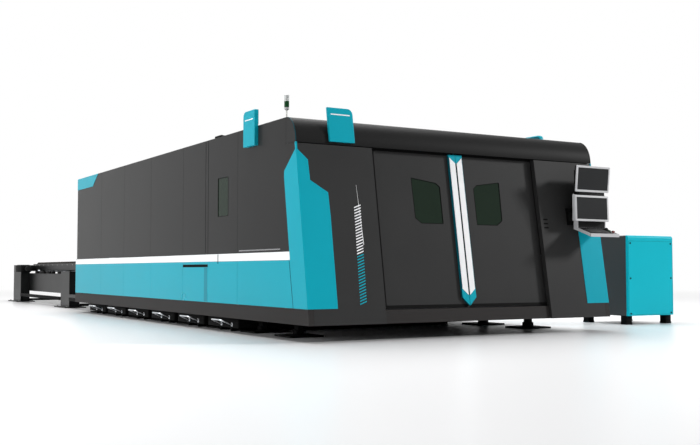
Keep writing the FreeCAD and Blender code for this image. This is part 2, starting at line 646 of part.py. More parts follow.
def corner_covers():
    """The folded teal cover on each front corner and the slanted patch on each rear top corner."""
    side_points = [
        (front("skirt_top"), "skirt_top"),
        (front("skirt_top", "cover_side"), "skirt_top"),
        (front("cover_side_low", "cover_side"), "cover_side_low"),
        (front("cover_side_top", "cover_side - 3 * seam"), "cover_side_top"),
        (front("cover_tip", "cover_spike"), "cover_tip"),
        (front("canopy_bottom", "cover_spike"), "canopy_bottom"),
        (front("canopy_bottom"), "canopy_bottom")]
    side_wing = padded("cover_side_wing", "YZ", side_points, "0 - half_width - cover_thickness",
                       "cover_thickness")
    left = "(0 - half_width - cover_thickness)"
    front_points = [
        (left, "skirt_top"), ("0 - half_width + cover_front", "skirt_top"),
        ("0 - half_width + cover_front", "cover_step_low"),
        ("0 - half_width + cover_front - 2 * seam", "cover_step"),
        ("0 - half_width + cover_neck", "cover_neck_low"),
        ("0 - half_width + cover_neck - 2 * seam", "cover_neck_top"),
        ("0 - half_width + cover_spike", "cover_tip"),
        ("0 - half_width + cover_spike", "canopy_bottom"), (left, "canopy_bottom")]
    prism = padded("cover_prism", "XZ", front_points, "front_y - tube", "front_setback + 2 * tube")
    slab = leaning("cover_slab", "skirt_top", "canopy_bottom", "0 - cover_thickness", "0",
                   left, "cover_front + 2 * cover_thickness")
    cover = fuse("front_cover", side_wing, common("cover_front_wing", slab, prism))
    patch_points = [("rear_y - patch_top", "housing_height"),
                    ("rear_y - patch_bottom", "housing_height - patch_height"),
                    ("rear_y", "housing_height - patch_height"), ("rear_y", "housing_height")]
    patch = padded("rear_patch", "YZ", patch_points, "0 - half_width - cover_thickness",
                   "cover_thickness")
    return both("covers", group("covers_left", cover, patch))


def roof_panels():
    """Flat roof sheets that meet at the side seams."""
    ends = ["canopy_back", "seam_a", "seam_b", "seam_d", "seam_e", "seam_f", "seam_g",
            "(rear_y - front_y)"]
    return group("roof", *[
        box(f"roof_sheet_{k}", "0 - skin_x", f"front_y + {start} + seam / 2", "roof_sheet",
            "2 * skin_x", f"{end} - ({start}) - seam", "skin")
        for k, (start, end) in enumerate(zip(ends, ends[1:]))])


def rear_wall():
    """The stepped rear wall with the port that the pallets pass through."""
    points = [("skirt_rear_y - skin", "skirt_bottom"), ("skirt_rear_y", "skirt_bottom"),
              ("skirt_rear_y", "stripe_top + skin"), ("rear_y", "stripe_top + skin"),
              ("rear_y", "roof_sheet"), ("frame_rear", "roof_sheet"), ("frame_rear", "stripe_top"),
              ("skirt_rear_y - skin", "stripe_top")]
    wall = padded("rear_sheet", "YZ", points, "0 - skin_x", "2 * skin_x")
    port = box("rear_port", "0 - port_half", "frame_rear - 1", "port_bottom", "2 * port_half",
               "skirt_step + skin + 2", "port_top - port_bottom")
    return cut("rear", wall, port)


def side_window():
    """The tinted pane behind the window hole, stuck to the panel's inner face."""
    return both("side_windows", box(
        "side_pane", "0 - skin_x", "front_y + window_start - tube / 2", "window_sill - tube / 2",
        "glass", "window_length + tube", "window_height + tube"))


def sign_plates():
    """Bare name plates: one leaning on the canopy and one on each side."""
    lean_plate = leaning("front_sign", "front_sign_bottom", "front_sign_bottom + sign_height",
                         "0 - sign_depth", "0", "0 - half_width + front_sign_start", "sign_width")
    corner = FreeCAD.Vector(number("0 - half_width + front_sign_start + sign_width"),
                            number(front("front_sign_bottom + sign_height", "0 - sign_depth / 2")),
                            number("front_sign_bottom + sign_height"))
    lean_plate = rounded(lean_plate, "front_sign_round", "sign_radius", corner)
    start, low = "front_y + side_sign_start", "side_sign_bottom"
    side = padded("side_sign", "YZ",
                  [(start, low), (f"{start} + sign_width", low),
                   (f"{start} + sign_width", f"{low} + sign_height"), (start, f"{low} + sign_height")],
                  "0 - half_width - side_sign_depth", "side_sign_depth")
    corner = FreeCAD.Vector(number("0 - half_width - side_sign_depth / 2"),
                            number(f"{start} + sign_width"), number(f"{low} + sign_height"))
    side = rounded(side, "side_sign_round", "sign_radius", corner)
    return group("signs", lean_plate, both("side_signs", side))


def stack_light():
    """A sealed lamp, its cap and two lenses in one barrel, on a thin pole that stands on the roof."""
    x, y = "0 - half_width + beacon_inset", "front_y + beacon_start"
    pole = cylinder("beacon_pole_bar", x, y, "housing_height", "beacon_pole", "beacon_pole_height")
    lamp = cylinder("beacon_lamp", x, y, "housing_height + beacon_pole_height", "beacon_radius",
                    "beacon_cap + 2 * beacon_lens")
    return group("beacon", pole, lamp)


# --------------------------------------------------------------------------- sliding doors
def pane_points(side):
    """A window's outline on the door, with two opposite corners cut, as seen from the front.
    The right door's window is the mirror image of the left one's."""
    inner, outer = "pane_inset", "(pane_inset + pane_width)"
    shape = [(f"{outer} - pane_slant", "pane_bottom + pane_foot_height"),
             (f"{outer} - pane_foot_width", "pane_bottom"), (inner, "pane_bottom"),
             (inner, "pane_top - pane_fall - pane_corner_height"),
             (f"{inner} + pane_corner_width", "pane_top - pane_fall"), (outer, "pane_top")]
    sign = "0 - " if side == "left" else ""
    return [(f"{sign}({across})", up) for across, up in shape]


def door(side):
    """A leaning slab with a raised skin, a window hole and two hangers under the door rail."""
    start = "0 - opening_half" if side == "left" else "door_gap / 2"
    skin_start = "0 - opening_half + door_margin" if side == "left" else "door_gap / 2"
    slab = leaning(f"door_slab_{side}", "door_bottom", "door_top", "door_recess + door_skin",
                   "door_recess + door_thickness", start, "door_width")
    raised = leaning(f"door_raised_{side}", "door_bottom", "door_top", "door_recess",
                     "door_recess + door_skin", skin_start, "door_width - door_margin")
    pieces = [slab, raised]
    for k, share in enumerate(("door_width / 6", "5 * door_width / 6 - hanger_length")):
        pieces.append(box(f"door_hanger_{side}_{k}", f"{start} + {share}",
                          front("door_top", "door_recess + door_skin"), "door_top", "hanger_length",
                          "door_thickness - 2 * door_skin", "hanger_height"))
    hole = padded(f"door_hole_{side}", "XZ", pane_points(side), "front_y",
                  "front_setback + 3 * door_thickness")
    return cut(f"{side}_door", fuse(f"door_blank_{side}", *pieces), hole)


def door_window(side):
    """The tinted pane that fills the door's window hole."""
    slab = leaning(f"pane_slab_{side}", "door_bottom", "door_top",
                   "door_recess + door_skin - glass / 2", "door_recess + door_skin + glass / 2",
                   "0 - opening_half", "door_opening")
    prism = padded(f"pane_prism_{side}", "XZ", pane_points(side), "front_y",
                   "front_setback + 3 * door_thickness")
    return common(f"pane_{side}", slab, prism)


def door_trim(side):
    """Half of the teal strip at the meeting edge of the doors, pointed at its foot."""
    near, far = "door_gap / 2", "trim_half"
    shape = [(near, "trim_tip"), (far, "trim_shoulder"), (far, "trim_top"), (near, "trim_top")]
    sign = "0 - " if side == "left" else ""
    prism = padded(f"trim_prism_{side}", "XZ", [(f"{sign}{x}", z) for x, z in shape], "front_y",
                   "front_setback + 3 * door_thickness")
    slab = leaning(f"trim_slab_{side}", "trim_tip", "trim_top", "door_recess - trim_proud",
                   "door_recess", "0 - trim_half", "2 * trim_half")
    return common(f"trim_{side}", slab, prism)


def door_bar(side):
    """The white bar on the strip, with a slanted end at top and foot."""
    near, far = "bar_gap", "(bar_gap + bar_width)"
    shape = [(near, "bar_bottom - bar_chamfer"), (far, "bar_bottom"), (far, "bar_top"),
             (near, "bar_top - bar_chamfer")]
    sign = "0 - " if side == "left" else ""
    prism = padded(f"bar_prism_{side}", "XZ", [(f"{sign}{x}", z) for x, z in shape],
                   "front_y - tube", "front_setback + 3 * door_thickness")
    slab = leaning(f"bar_slab_{side}", "trim_tip", "trim_top", "door_recess - trim_proud - bar_proud",
                   "door_recess - trim_proud", "0 - trim_half", "2 * trim_half")
    return common(f"bar_{side}", slab, prism)


# --------------------------------------------------------------------------- gantry and head
def gantry_beam():
    """The box beam across the bed, open at its ends."""
    length = "2 * (beam_outer - beam_end)"
    outer = box("gantry_outer", f"0 - {length} / 2", "beam_front", "beam_bottom", length,
                "beam_section", "beam_height")
    hollow = box("gantry_hollow", f"0 - {length} / 2 - 1", "beam_front + beam_wall",
                 "beam_bottom + beam_wall", f"{length} + 2", "beam_section - 2 * beam_wall",
                 "beam_height - 2 * beam_wall")
    return cut("gantry_tube", outer, hollow)


def gantry_saddles():
    """The carriage plate at each end of the beam, with two runner blocks over the rail."""
    low = "0 - beam_outer + beam_end"
    plate = box("saddle_plate", low, "beam_y - saddle_length / 2", "saddle_bottom", "saddle_width",
                "saddle_length", "saddle_height")
    blocks = []
    for k, shift in enumerate(("0 - saddle_length / 2", "saddle_length / 2 - runner_length")):
        block = box(f"runner_{k}", low, f"beam_y + {shift}", "bed_top + runner_gap",
                    "2 * (rail_base_inset - beam_end) + rail_section", "runner_length",
                    "runner_height - runner_gap")
        groove = box(f"runner_groove_{k}", "0 - beam_outer + rail_base_inset - carriage_gap",
                     f"beam_y + {shift} - 1", "bed_top", "rail_section + 2 * carriage_gap",
                     "runner_length + 2", "rail_section + carriage_gap")
        blocks.append(cut(f"runner_block_{k}", block, groove))
    return both("saddles", fuse("saddle", plate, *blocks))


def gantry_motors():
    """A servo motor with its gearbox on each saddle, over the rack."""
    x = "0 - beam_inner - motor_size - motor_overhang"
    body = box("motor_body", x, "beam_y + beam_section / 2 + motor_gap", "beam_bottom",
               "motor_size", "motor_size", "motor_height")
    return both("motors", body)


def beam_rails():
    """Two linear rails on the front of the gantry beam."""
    return group("rails_on_beam", *[
        box(f"beam_rail_{name}", "0 - beam_inner", "rail_front",
            f"beam_bottom + beam_height / 2 {sign} beam_rail_pitch / 2 - beam_rail / 2",
            "2 * beam_inner", "beam_rail", "beam_rail")
        for name, sign in (("low", "-"), ("high", "+"))])


def head_carriage():
    """The plate that runs along the beam, with its drive motor on top."""
    middle = "(beam_bottom + beam_height / 2)"
    plate = box("carriage_plate", "0 - carriage_width / 2", "carriage_front",
                f"{middle} - carriage_height / 2", "carriage_width", "carriage_thickness",
                "carriage_height")
    motor = box("carriage_motor", "0 - motor_size / 2", "carriage_front",
                f"{middle} + carriage_height / 2", "motor_size", "motor_size", "motor_height")
    return fuse("carriage", plate, motor)


def z_slide():
    """The plate that rises and falls on the carriage and carries the head."""
    return box("slide_plate", "0 - slide_width / 2", "slide_front", "head_bottom + slide_low",
               "slide_width", "slide_thickness", "slide_height")


def cutting_head():
    """The head: a tapered tip under the square lens housing, and the collimator on top."""
    low = "head_bottom"
    tip = frustum("head_tip", "0", "head_y", low, "nozzle_radius", "tip_half", "tip_height")
    housing = box("head_housing", "0 - head_width / 2", "head_y - head_width / 2",
                  f"{low} + tip_height", "head_width", "head_width / 2 + head_offset",
                  "head_length - tip_height - collimator_length")
    collimator = box("head_collimator", "0 - collimator_width / 2", "head_y - collimator_width / 2",
                     f"{low} + head_length - collimator_length", "collimator_width",
                     "collimator_width", "collimator_length")
    return fuse("head", tip, housing, collimator)


def nozzle():
    """The nozzle: a hexagonal collar and a round tip, bored through."""
    collar = doc.addObject("Part::Prism", "nozzle_collar")
    collar.Polygon = 6
    bind(collar, Circumradius="nozzle_radius", Height="nozzle_length - nozzle_tip_length")
    place(collar, "0", "head_y", "nozzle_rest + nozzle_tip_length")
    tip = cylinder("nozzle_tip_bar", "0", "head_y", "nozzle_rest", "nozzle_tip", "nozzle_tip_length")
    bore = cylinder("nozzle_hole", "0", "head_y", "nozzle_rest - 1", "nozzle_bore",
                    "nozzle_length + 2")
    return cut("nozzle_turning", fuse("nozzle_blank", collar, tip), bore)


# --------------------------------------------------------------------------- pallets
AXLES = ("axle_offset", "pallet_length - axle_offset")


def pallet(name, start, rail):
    """A welded frame with three bearers for the slats and four saddles that sit on the axles."""
    half = "pallet_width / 2"
    low = f"({rail} + frame_lift)"
    sides = [box(f"{name}_side_{k}", x, start, low, "pallet_wall", "pallet_length", "pallet_frame")
             for k, x in enumerate((f"0 - {half}", f"{half} - pallet_wall"))]
    ends = [box(f"{name}_end_{k}", f"0 - {half}", f"{start} + {shift}", low, "pallet_width",
                "pallet_wall", "pallet_frame")
            for k, shift in enumerate(("0", "pallet_length - pallet_wall"))]
    bearers = [box(f"{name}_bearer_{k}", f"{k - 1} * pallet_width / 4 - bearer / 2", start, low,
                   "bearer", "pallet_length", "bearer") for k in range(3)]
    blocks = []
    for k, axle in enumerate(AXLES):
        for side, x in (("left", f"0 - {half}"), ("right", f"{half} - block_width")):
            block = box(f"{name}_block_{side}_{k}", x, f"{start} + {axle} - block_length / 2",
                        f"{rail} + wheel_radius + wheel_clearance - axle_radius - block_skin",
                        "block_width", "block_length",
                        "frame_lift - wheel_radius - wheel_clearance + axle_radius + block_skin")
            notch = box(f"{name}_notch_{side}_{k}", f"{x} - 1",
                        f"{start} + {axle} - axle_radius - axle_clearance",
                        f"{rail} + wheel_radius + wheel_clearance - axle_radius - block_skin - 1",
                        "block_width + 2", "2 * (axle_radius + axle_clearance)",
                        "2 * axle_radius + axle_clearance + block_skin + 1")
            blocks.append(cut(f"{name}_saddle_{side}_{k}", block, notch))
    return fuse(name + "_frame", *sides, *ends, *bearers, *blocks)


def slats(name, start, rail):
    """Sawtooth support slats, evenly spaced between the pallet's end beams."""
    teeth = int(size("slat_teeth"))
    count = int(size("slat_count"))
    half = "(pallet_width / 2 - pallet_wall)"
    low = f"({rail} + frame_lift + bearer)"
    top = f"({rail} + frame_lift + pallet_frame + slat_proud)"
    points = [(f"0 - {half}", low), (half, low)]
    for k in range(teeth, 0, -1):
        points.append((f"{half} * ({2 * k - teeth} / slat_teeth)", f"{top} - tooth_depth"))
        points.append((f"{half} * ({2 * k - 1 - teeth} / slat_teeth)", top))
    points.append((f"0 - {half}", f"{top} - tooth_depth"))
    blade = padded(f"{name}_blade", "XZ", points, "0", "slat_thickness")
    blades = []
    for k in range(count):
        copy = doc.addObject("App::Link", f"{name}_blade_{k}")
        copy.LinkedObject = blade
        place(copy, y=f"{start} + pallet_length * ({k} + 1) / (slat_count + 1) - slat_thickness / 2")
        blades.append(copy)
    return group(name + "_set", *blades)


def wheelset(name, start, rail, axle):
    """An axle with a flat wheel at each end."""
    y, z = f"{start} + {axle}", f"{rail} + wheel_radius + wheel_clearance"
    bar = cylinder(name + "_axle", "0 - wheel_outer", y, z, "axle_radius", "2 * wheel_outer", "X")
    wheels = [cylinder(f"{name}_wheel_{k}", x, y, z, "wheel_radius", "wheel_width", "X")
              for k, x in enumerate(("0 - wheel_outer", "wheel_outer - wheel_width"))]
    return fuse(name + "_set", bar, *wheels)


# --------------------------------------------------------------------------- exchange table
POSTS_OF_TABLE = (("near", "near_post_y", "near_post_length", "near_post_height"),
                  ("far", "far_post_y", "far_post_length", "far_post_height"))


def post(name, start, length, height):
    """A closed box post on its base plate, with a slot on the inner side for the lift's shoe."""
    x = "0 - post_outer"
    outer = box(f"{name}_post_box", x, start, "0", "post_width", length, height)
    plate = box(f"{name}_post_plate", f"{x} - base_margin", f"{start} - base_margin", "0",
                "post_width + 2 * base_margin", f"{length} + 2 * base_margin", "base_plate")
    hollow = box(f"{name}_post_hollow", f"{x} + post_wall", f"{start} + post_wall", "base_plate",
                 "post_width - 2 * post_wall", f"{length} - 2 * post_wall",
                 f"{height} - base_plate - post_wall")
    middle = f"({start} + {length} / 2)"
    slot = box(f"{name}_post_slot", "0 - post_inner - 2 * post_wall",
               f"{middle} - shoe_width / 2 - shoe_slack",
               "rail_height - shoe_drop - shoe_height - level_pitch - shoe_slack",
               "3 * post_wall", "shoe_width + 2 * shoe_slack",
               "shoe_height + level_pitch + 2 * shoe_slack")
    return cut(f"{name}_post", fuse(f"{name}_post_blank", outer, plate), hollow, slot)


def exchange_frame():
    """Four posts joined by side plates, ties, portals and the end beam, and linked to the housing."""
    side = [post(*values) for values in POSTS_OF_TABLE]
    gap_start = "near_post_y + near_post_length"
    gap = f"far_post_y - ({gap_start})"
    side.append(box("table_side_plate", "0 - post_inner - side_plate", gap_start, "side_plate_bottom",
                    "side_plate", gap, "side_plate_top - side_plate_bottom"))
    side.append(box("table_tie", "0 - post_outer", gap_start, "tie_bottom", "tie_width", gap,
                    "tie_height"))
    side.append(box("table_link", "0 - post_outer", "skirt_rear_y", "link_bottom", "tie_width",
                    "near_post_y - skirt_rear_y", "tie_height"))
    left = fuse("table_side", *side)
    right = mirrored("table_side_mirror", left)
    portals = [box(f"portal_{name}", "0 - post_inner", f"{start} + {length} / 2 - portal_width / 2",
                   "base_plate", "2 * post_inner", "portal_width", "portal_height")
               for name, start, length, _ in POSTS_OF_TABLE]
    end = box("end_beam", "0 - post_inner", "table_y + pallet_length + end_beam_gap",
              "end_beam_bottom", "2 * post_inner", "end_beam_depth",
              "far_post_height - end_beam_bottom")
    return fuse("table_frame", left, right, end, *portals)


SHOE_BOTTOM = "(rail_height - shoe_drop - shoe_height)"
MAST_WIDTH = "(column_width - 2 * column_wall - 2 * column_clearance)"


def lift_columns():
    """The square lifting column inside each post, open at the top for the mast that rises in it."""
    columns = []
    for name, start, length, _ in POSTS_OF_TABLE:
        y = f"({start} + {length} / 2)"
        height = f"({SHOE_BOTTOM} - level_pitch - column_gap - base_plate)"
        shell = box(f"{name}_column", "0 - post_middle - column_width / 2",
                    f"{y} - column_width / 2", "base_plate", "column_width", "column_width", height)
        hollow = box(f"{name}_column_hollow", "0 - post_middle - column_width / 2 + column_wall",
                     f"{y} - column_width / 2 + column_wall", "base_plate + column_wall",
                     "column_width - 2 * column_wall", "column_width - 2 * column_wall", height)
        columns.append(cut(f"{name}_column_tube", shell, hollow))
    return both("columns", group("columns_left", *columns))


def lift_frame():
    """Two channels with an upper and a lower rail, cross members, and a shoe and a mast per post."""
    flange = "0 - web_outer"
    length = "lift_end - lift_y"
    side = [box("lift_web_plate", flange, "lift_y", "low_rail - lift_flange_thickness", "lift_web",
                length, "level_pitch + lift_flange_thickness")]
    for name, rail in (("upper", "rail_height"), ("lower", "low_rail")):
        side.append(box(f"lift_{name}_rail", flange, "lift_y", f"{rail} - lift_flange_thickness",
                        "lift_flange", length, "lift_flange_thickness"))
    for name, start, post_length, _ in POSTS_OF_TABLE:
        y = f"({start} + {post_length} / 2)"
        mast_x = f"(0 - post_middle - {MAST_WIDTH} / 2)"
        mast_z = "(base_plate + column_wall + mast_foot + level_pitch)"
        side.append(box(f"{name}_shoe", mast_x, f"{y} - shoe_width / 2", SHOE_BOTTOM,
                        f"0 - web_outer - {mast_x}", "shoe_width", "shoe_height"))
        side.append(box(f"{name}_mast", mast_x, f"{y} - {MAST_WIDTH} / 2", mast_z, MAST_WIDTH,
                        MAST_WIDTH, f"{SHOE_BOTTOM} - {mast_z}"))
    left = fuse("lift_side", *side)
    right = mirrored("lift_side_mirror", left)
    count = int(size("lift_crosses"))
    crosses = [box(f"lift_cross_{k}", flange,
                   f"lift_y + ({length} - lift_cross) * {k} / (lift_crosses - 1)",
                   "low_rail - lift_flange_thickness - lift_cross", "2 * web_outer", "lift_cross",
                   "lift_cross") for k in range(count)]
    return fuse("lift", left, right, *crosses)


# --------------------------------------------------------------------------- console
def console_bracket():
    """The bracket on the front panel, with two ears and the pin that the console turns on."""
    ear = "console_pin_height / 4"
    foot_front = "pin_y - knuckle_half"
    blank = padded("bracket_blank", "YZ",
                   [(foot_front, "console_pin_base"), (front("console_pin_base"), "console_pin_base"),
                    (front("console_pin_base + console_pin_height"),
                     "console_pin_base + console_pin_height"),
                    (foot_front, "console_pin_base + console_pin_height")],
                   "pin_x - knuckle_sweep", "2 * knuckle_sweep")
    clear = box("bracket_clear", "pin_x - knuckle_sweep - 1", f"{foot_front} - 1",
                f"console_pin_base + {ear}", "2 * knuckle_sweep + 2",
                "knuckle_half + knuckle_sweep + 1", f"2 * {ear}")
    pin = cylinder("bracket_pin", "pin_x", "pin_y", f"console_pin_base + {ear}", "console_pin",
                   f"2 * {ear}")
    return fuse("bracket", cut("bracket_open", blank, clear), pin)


def console_body():
    """The rear housing of the console, with the arm and the bored knuckle that turns on the pin."""
    housing = box("console_housing", "body_x", "body_y", "console_bottom", "console_body_width",
                  "console_body_depth", "console_top - console_bottom")
    arm = box("console_arm", "pin_x", "body_back", "knuckle_low", "arm_reach", "arm_depth",
              "knuckle_height")
    knuckle = box("console_knuckle", "pin_x - knuckle_half", "pin_y - knuckle_half", "knuckle_low",
                  "2 * knuckle_half", "2 * knuckle_half", "knuckle_height")
    bore = cylinder("console_bore", "pin_x", "pin_y", "knuckle_low - 1",
                    "console_pin + hinge_clearance", "knuckle_height + 2")
    return cut("console", fuse("console_blank", housing, arm, knuckle), bore)


def desk_top(y):
    """The height of the sloping desk's surface at a depth."""
    return (f"(console_bottom + desk_thickness - desk_drop"
            f" + desk_drop * (({y}) - desk_y) / (desk_depth + console_body_depth))")


BUTTONS = (("stop", "stop_y", "stop_radius", "stop_height", "stop_travel"),
           ("start", "start_y", "start_radius", "start_height", "start_travel"))


DESK_SLOPE = "atan(desk_drop / (desk_depth + console_body_depth))"


def tilt(thing):
    """Lean a piece square to the sloping desk."""
    lean = FreeCAD.Rotation(FreeCAD.Vector(1, 0, 0), 1)
    thing.Placement = FreeCAD.Placement(FreeCAD.Vector(), lean)
    return bind(thing, Placement__Rotation__Angle=DESK_SLOPE)


def console_shelf():
    """The light sloping desk with a cheek on each side of the housing and two button holes."""
    low = "console_bottom - desk_drop"
    points = [("desk_y", low), ("body_y", f"{desk_top('body_y')} - desk_thickness"),
              ("body_y", desk_top("body_y")), ("desk_y", f"{low} + desk_thickness")]
    desk = padded("desk", "YZ", points, "body_x - cheek", "console_body_width + 2 * cheek")
    cheeks = []
    for k, x in enumerate(("body_x - cheek", "body_end")):
        outline_points = [("body_y - seam", f"{desk_top('body_y - seam')} - desk_thickness"),
                          ("body_back", "console_bottom"),
                          ("body_back", "console_bottom + cheek_height"),
                          ("body_y - seam", "console_bottom + cheek_height")]
        cheeks.append(padded(f"desk_cheek_{k}", "YZ", outline_points, x, "cheek"))
    holes = []
    for name, y, _, _, _ in BUTTONS:
        half = "(stem + stem_clearance)"
        hole = tilt(doc.addObject("Part::Box", name + "_hole"))
        bind(hole, Length=f"2 * {half}", Width=f"2 * {half}", Height="3 * desk_thickness")
        place(hole, f"button_x - {half}",
              f"{y} - {half} * cos({DESK_SLOPE}) + 2 * desk_thickness * sin({DESK_SLOPE})",
              f"{desk_top(y)} - {half} * sin({DESK_SLOPE}) - 2 * desk_thickness * cos({DESK_SLOPE})")
        holes.append(hole)
    return cut("shelf", fuse("shelf_blank", desk, *cheeks), *holes)


def button(name, y, radius, height, travel):
    """A cap on a square stem that slides in the desk's hole: round for stop, square for start."""
    body = doc.addObject("PartDesign::Body", name + "_body")
    stages = (("stem", "0 - stem_depth", f"stem_depth + {travel} + cap_clearance", "stem"),
              ("cap", f"{travel} + cap_clearance", f"{height} - cap_clearance", radius))
    for part, low, length, half in stages:
        sketch = body.newObject("Sketcher::SketchObject", f"{name}_{part}_outline")
        sketch.AttachmentSupport = (origin_plane(body, "XY_Plane"), [""])
        sketch.MapMode = "FlatFace"
        bind(sketch, AttachmentOffset__Base__z=low)
        if (name, part) == ("stop", "cap"):
            sketch.addGeometry(Part.Circle(), False)
            sketch.addConstraint(Sketcher.Constraint("Coincident", 0, 3, -1, 1))
            sketch.addConstraint(Sketcher.Constraint("Radius", 0, size(half)))
            sketch.setExpression("Constraints[1]", formula(half))
        else:
            outline(sketch, square(half))
        pad = body.newObject("PartDesign::Pad", f"{name}_{part}")
        pad.Profile = sketch
        bind(pad, Length=length)
    return place(tilt(body), "button_x", y, desk_top(y))


def keyboard():
    """The flat keyboard on the desk."""
    near, far = "(desk_y + key_margin)", "(desk_y + key_margin + key_depth)"
    points = [(near, desk_top(near)), (far, desk_top(far)), (far, f"{desk_top(far)} + key_height"),
              (near, f"{desk_top(near)} + key_height")]
    return padded("keys", "YZ", points, "body_x + key_margin / 2", "key_width")


MONITORS = (("upper", "upper_monitor", "upper_lean"), ("lower", "lower_monitor", "0 - lower_lean"))


def tilted(name, base, lean, low, high, near, far, start, length):
    """A slab parallel to a monitor's leaning face."""
    def face(z, offset):
        return f"monitor_y - ({lean}) * (({z}) - {base}) / monitor_height + ({offset})"
    points = [(face(low, near), low), (face(low, far), low), (face(high, far), high),
              (face(high, near), high)]
    return padded(name, "YZ", points, start, length)


def monitors():
    """Two monitor housings with a recess for the screen and a boss on the console's housing."""
    pieces = []
    for name, base, lean in MONITORS:
        shell = tilted(f"monitor_{name}", base, lean, base, f"{base} + monitor_height", "0",
                       "monitor_depth", "console_x", "monitor_width")
        boss = box(f"monitor_boss_{name}", "(body_x + body_end - monitor_boss) / 2",
                   "monitor_y + body_gap", f"{base} + 2 * bezel", "monitor_boss",
                   "body_y - monitor_y - body_gap", "monitor_height - 4 * bezel")
        recess = tilted(f"recess_{name}", base, lean, f"{base} + bezel",
                        f"{base} + monitor_height - bezel", "0 - bezel", "bezel_depth",
                        "console_x + bezel", "monitor_width - 2 * bezel")
        pieces.append(cut(f"monitor_body_{name}", fuse(f"monitor_blank_{name}", shell, boss), recess))
    return group("monitor_pair", *pieces)


def screens():
    """The two screens, each on the bottom of its recess."""
    return group("screen_pair", *[
        tilted(f"screen_{name}", base, lean, f"{base} + bezel", f"{base} + monitor_height - bezel",
               "bezel_depth - screen_depth", "bezel_depth", "console_x + bezel",
               "monitor_width - 2 * bezel")
        for name, base, lean in MONITORS])


# --------------------------------------------------------------------------- cabinet
def cabinet_body():
    """The free-standing cabinet's dark case on four square legs."""
    case = box("cabinet_case", "cabinet_x", "cabinet_y + cabinet_skin", "cabinet_bottom",
               "cabinet_width", "cabinet_depth - cabinet_skin", "cabinet_height")
    legs = [box(f"cabinet_leg_{k}", x, y, "0", "cabinet_leg", "cabinet_leg", "cabinet_bottom")
            for k, (x, y) in enumerate(
                (x, y) for x in ("cabinet_x", "cabinet_x + cabinet_width - cabinet_leg")
                for y in ("cabinet_y + cabinet_skin", "cabinet_y + cabinet_depth - cabinet_leg"))]
    return fuse("cabinet", case, *legs)


def cabinet_front():
    """The teal front panel, rounded along its top edge."""
    points = [("cabinet_y", "cabinet_bottom"), ("cabinet_y + cabinet_skin", "cabinet_bottom"),
              ("cabinet_y + cabinet_skin", "cabinet_bottom + cabinet_height"),
              ("cabinet_y", "cabinet_bottom + cabinet_height")]
    panel = padded("cabinet_panel", "YZ", points, "cabinet_x", "cabinet_width")
    return rounded(panel, "cabinet_panel_round", "cabinet_round",
                   FreeCAD.Vector(number("cabinet_x"), number("cabinet_y"),
                                  number("cabinet_bottom + cabinet_height")))


# --------------------------------------------------------------------------- the machine
node("bed_frame", bed_frame())
node("levelling_feet", both("feet", group("feet_left", *[
    foot(k, row_y) for k, row_y in enumerate(FOOT_ROWS)])))
node("guide_rails", guide_rails())
node("housing_frame", housing_frame())
node("plinth_skirt", plinth_skirt())
node("upper_side_panels", upper_side_panels())
node("lower_side_panels", lower_side_panels())
node("side_stripes", side_stripes())
node("service_flap", service_flap())
node("front_panels", front_panels())
node("front_canopy", front_canopy())
node("corner_covers", corner_covers())
node("roof_panels", roof_panels())
node("rear_wall", rear_wall())
node("side_windows", side_window())
node("sign_plates", sign_plates())
node("stack_light", stack_light())
for side in ("left", "right"):
    node(f"door_{side}", door(side))
    node(f"door_{side}_window", door_window(side))
    node(f"door_{side}_trim", door_trim(side))
    node(f"door_{side}_bar", door_bar(side))
node("gantry_beam", gantry_beam())
node("gantry_saddles", gantry_saddles())
node("gantry_motors", gantry_motors())
node("beam_rails", beam_rails())
node("head_carriage", head_carriage())
node("z_slide", z_slide())
node("cutting_head", cutting_head())
node("nozzle", nozzle())
for level, start, rail in (("inner", "inner_y", "low_rail"), ("outer", "table_y", "rail_height")):
    node(f"pallet_{level}", pallet(f"pallet_{level}", start, rail))
    node(f"slats_{level}", slats(f"slats_{level}", start, rail))
    for end, axle in zip(("front", "rear"), AXLES):
        node(f"wheels_{level}_{end}", wheelset(f"wheels_{level}_{end}", start, rail, axle))
node("exchange_frame", exchange_frame())
node("lift_columns", lift_columns())
node("lift_frame", lift_frame())
for k in range(BAYS):
    node(f"slag_tray_{k + 1}", slag_tray(k))
node("console_bracket", console_bracket())
node("console_body", console_body())
node("console_shelf", console_shelf())
node("monitors", monitors())
node("screens", screens())
node("keyboard", keyboard())
for values in BUTTONS:
    node(f"{values[0]}_button", button(*values))
node("cabinet_body", cabinet_body())
node("cabinet_front", cabinet_front())

doc.recompute()
for thing in doc.Objects:
    if "Invalid" in thing.State or "Error" in thing.State:
        raise RuntimeError(f"{thing.Name} did not compute: {thing.State}")
os.makedirs("parts", exist_ok=True)
for thing in NODES:
    if thing.Shape.isNull() or not thing.Shape.isValid() or not thing.Shape.Solids:
        raise RuntimeError(f"{thing.Label} has no valid solid")
    thing.Shape.exportStep(f"parts/{thing.Label}.step")
print(len(NODES), "sub-parts")
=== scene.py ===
"""Enclosed fibre laser cutter for sheet metal, with its pallet table, console and cabinet.

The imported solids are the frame. Flat sheet-metal parts keep their solid and get a finish, and
the pieces with a rounder or finer form are made here and stand for their solid. Everything is in
metres: +X to the operator's right, +Y towards the pallet table, +Z up.
"""

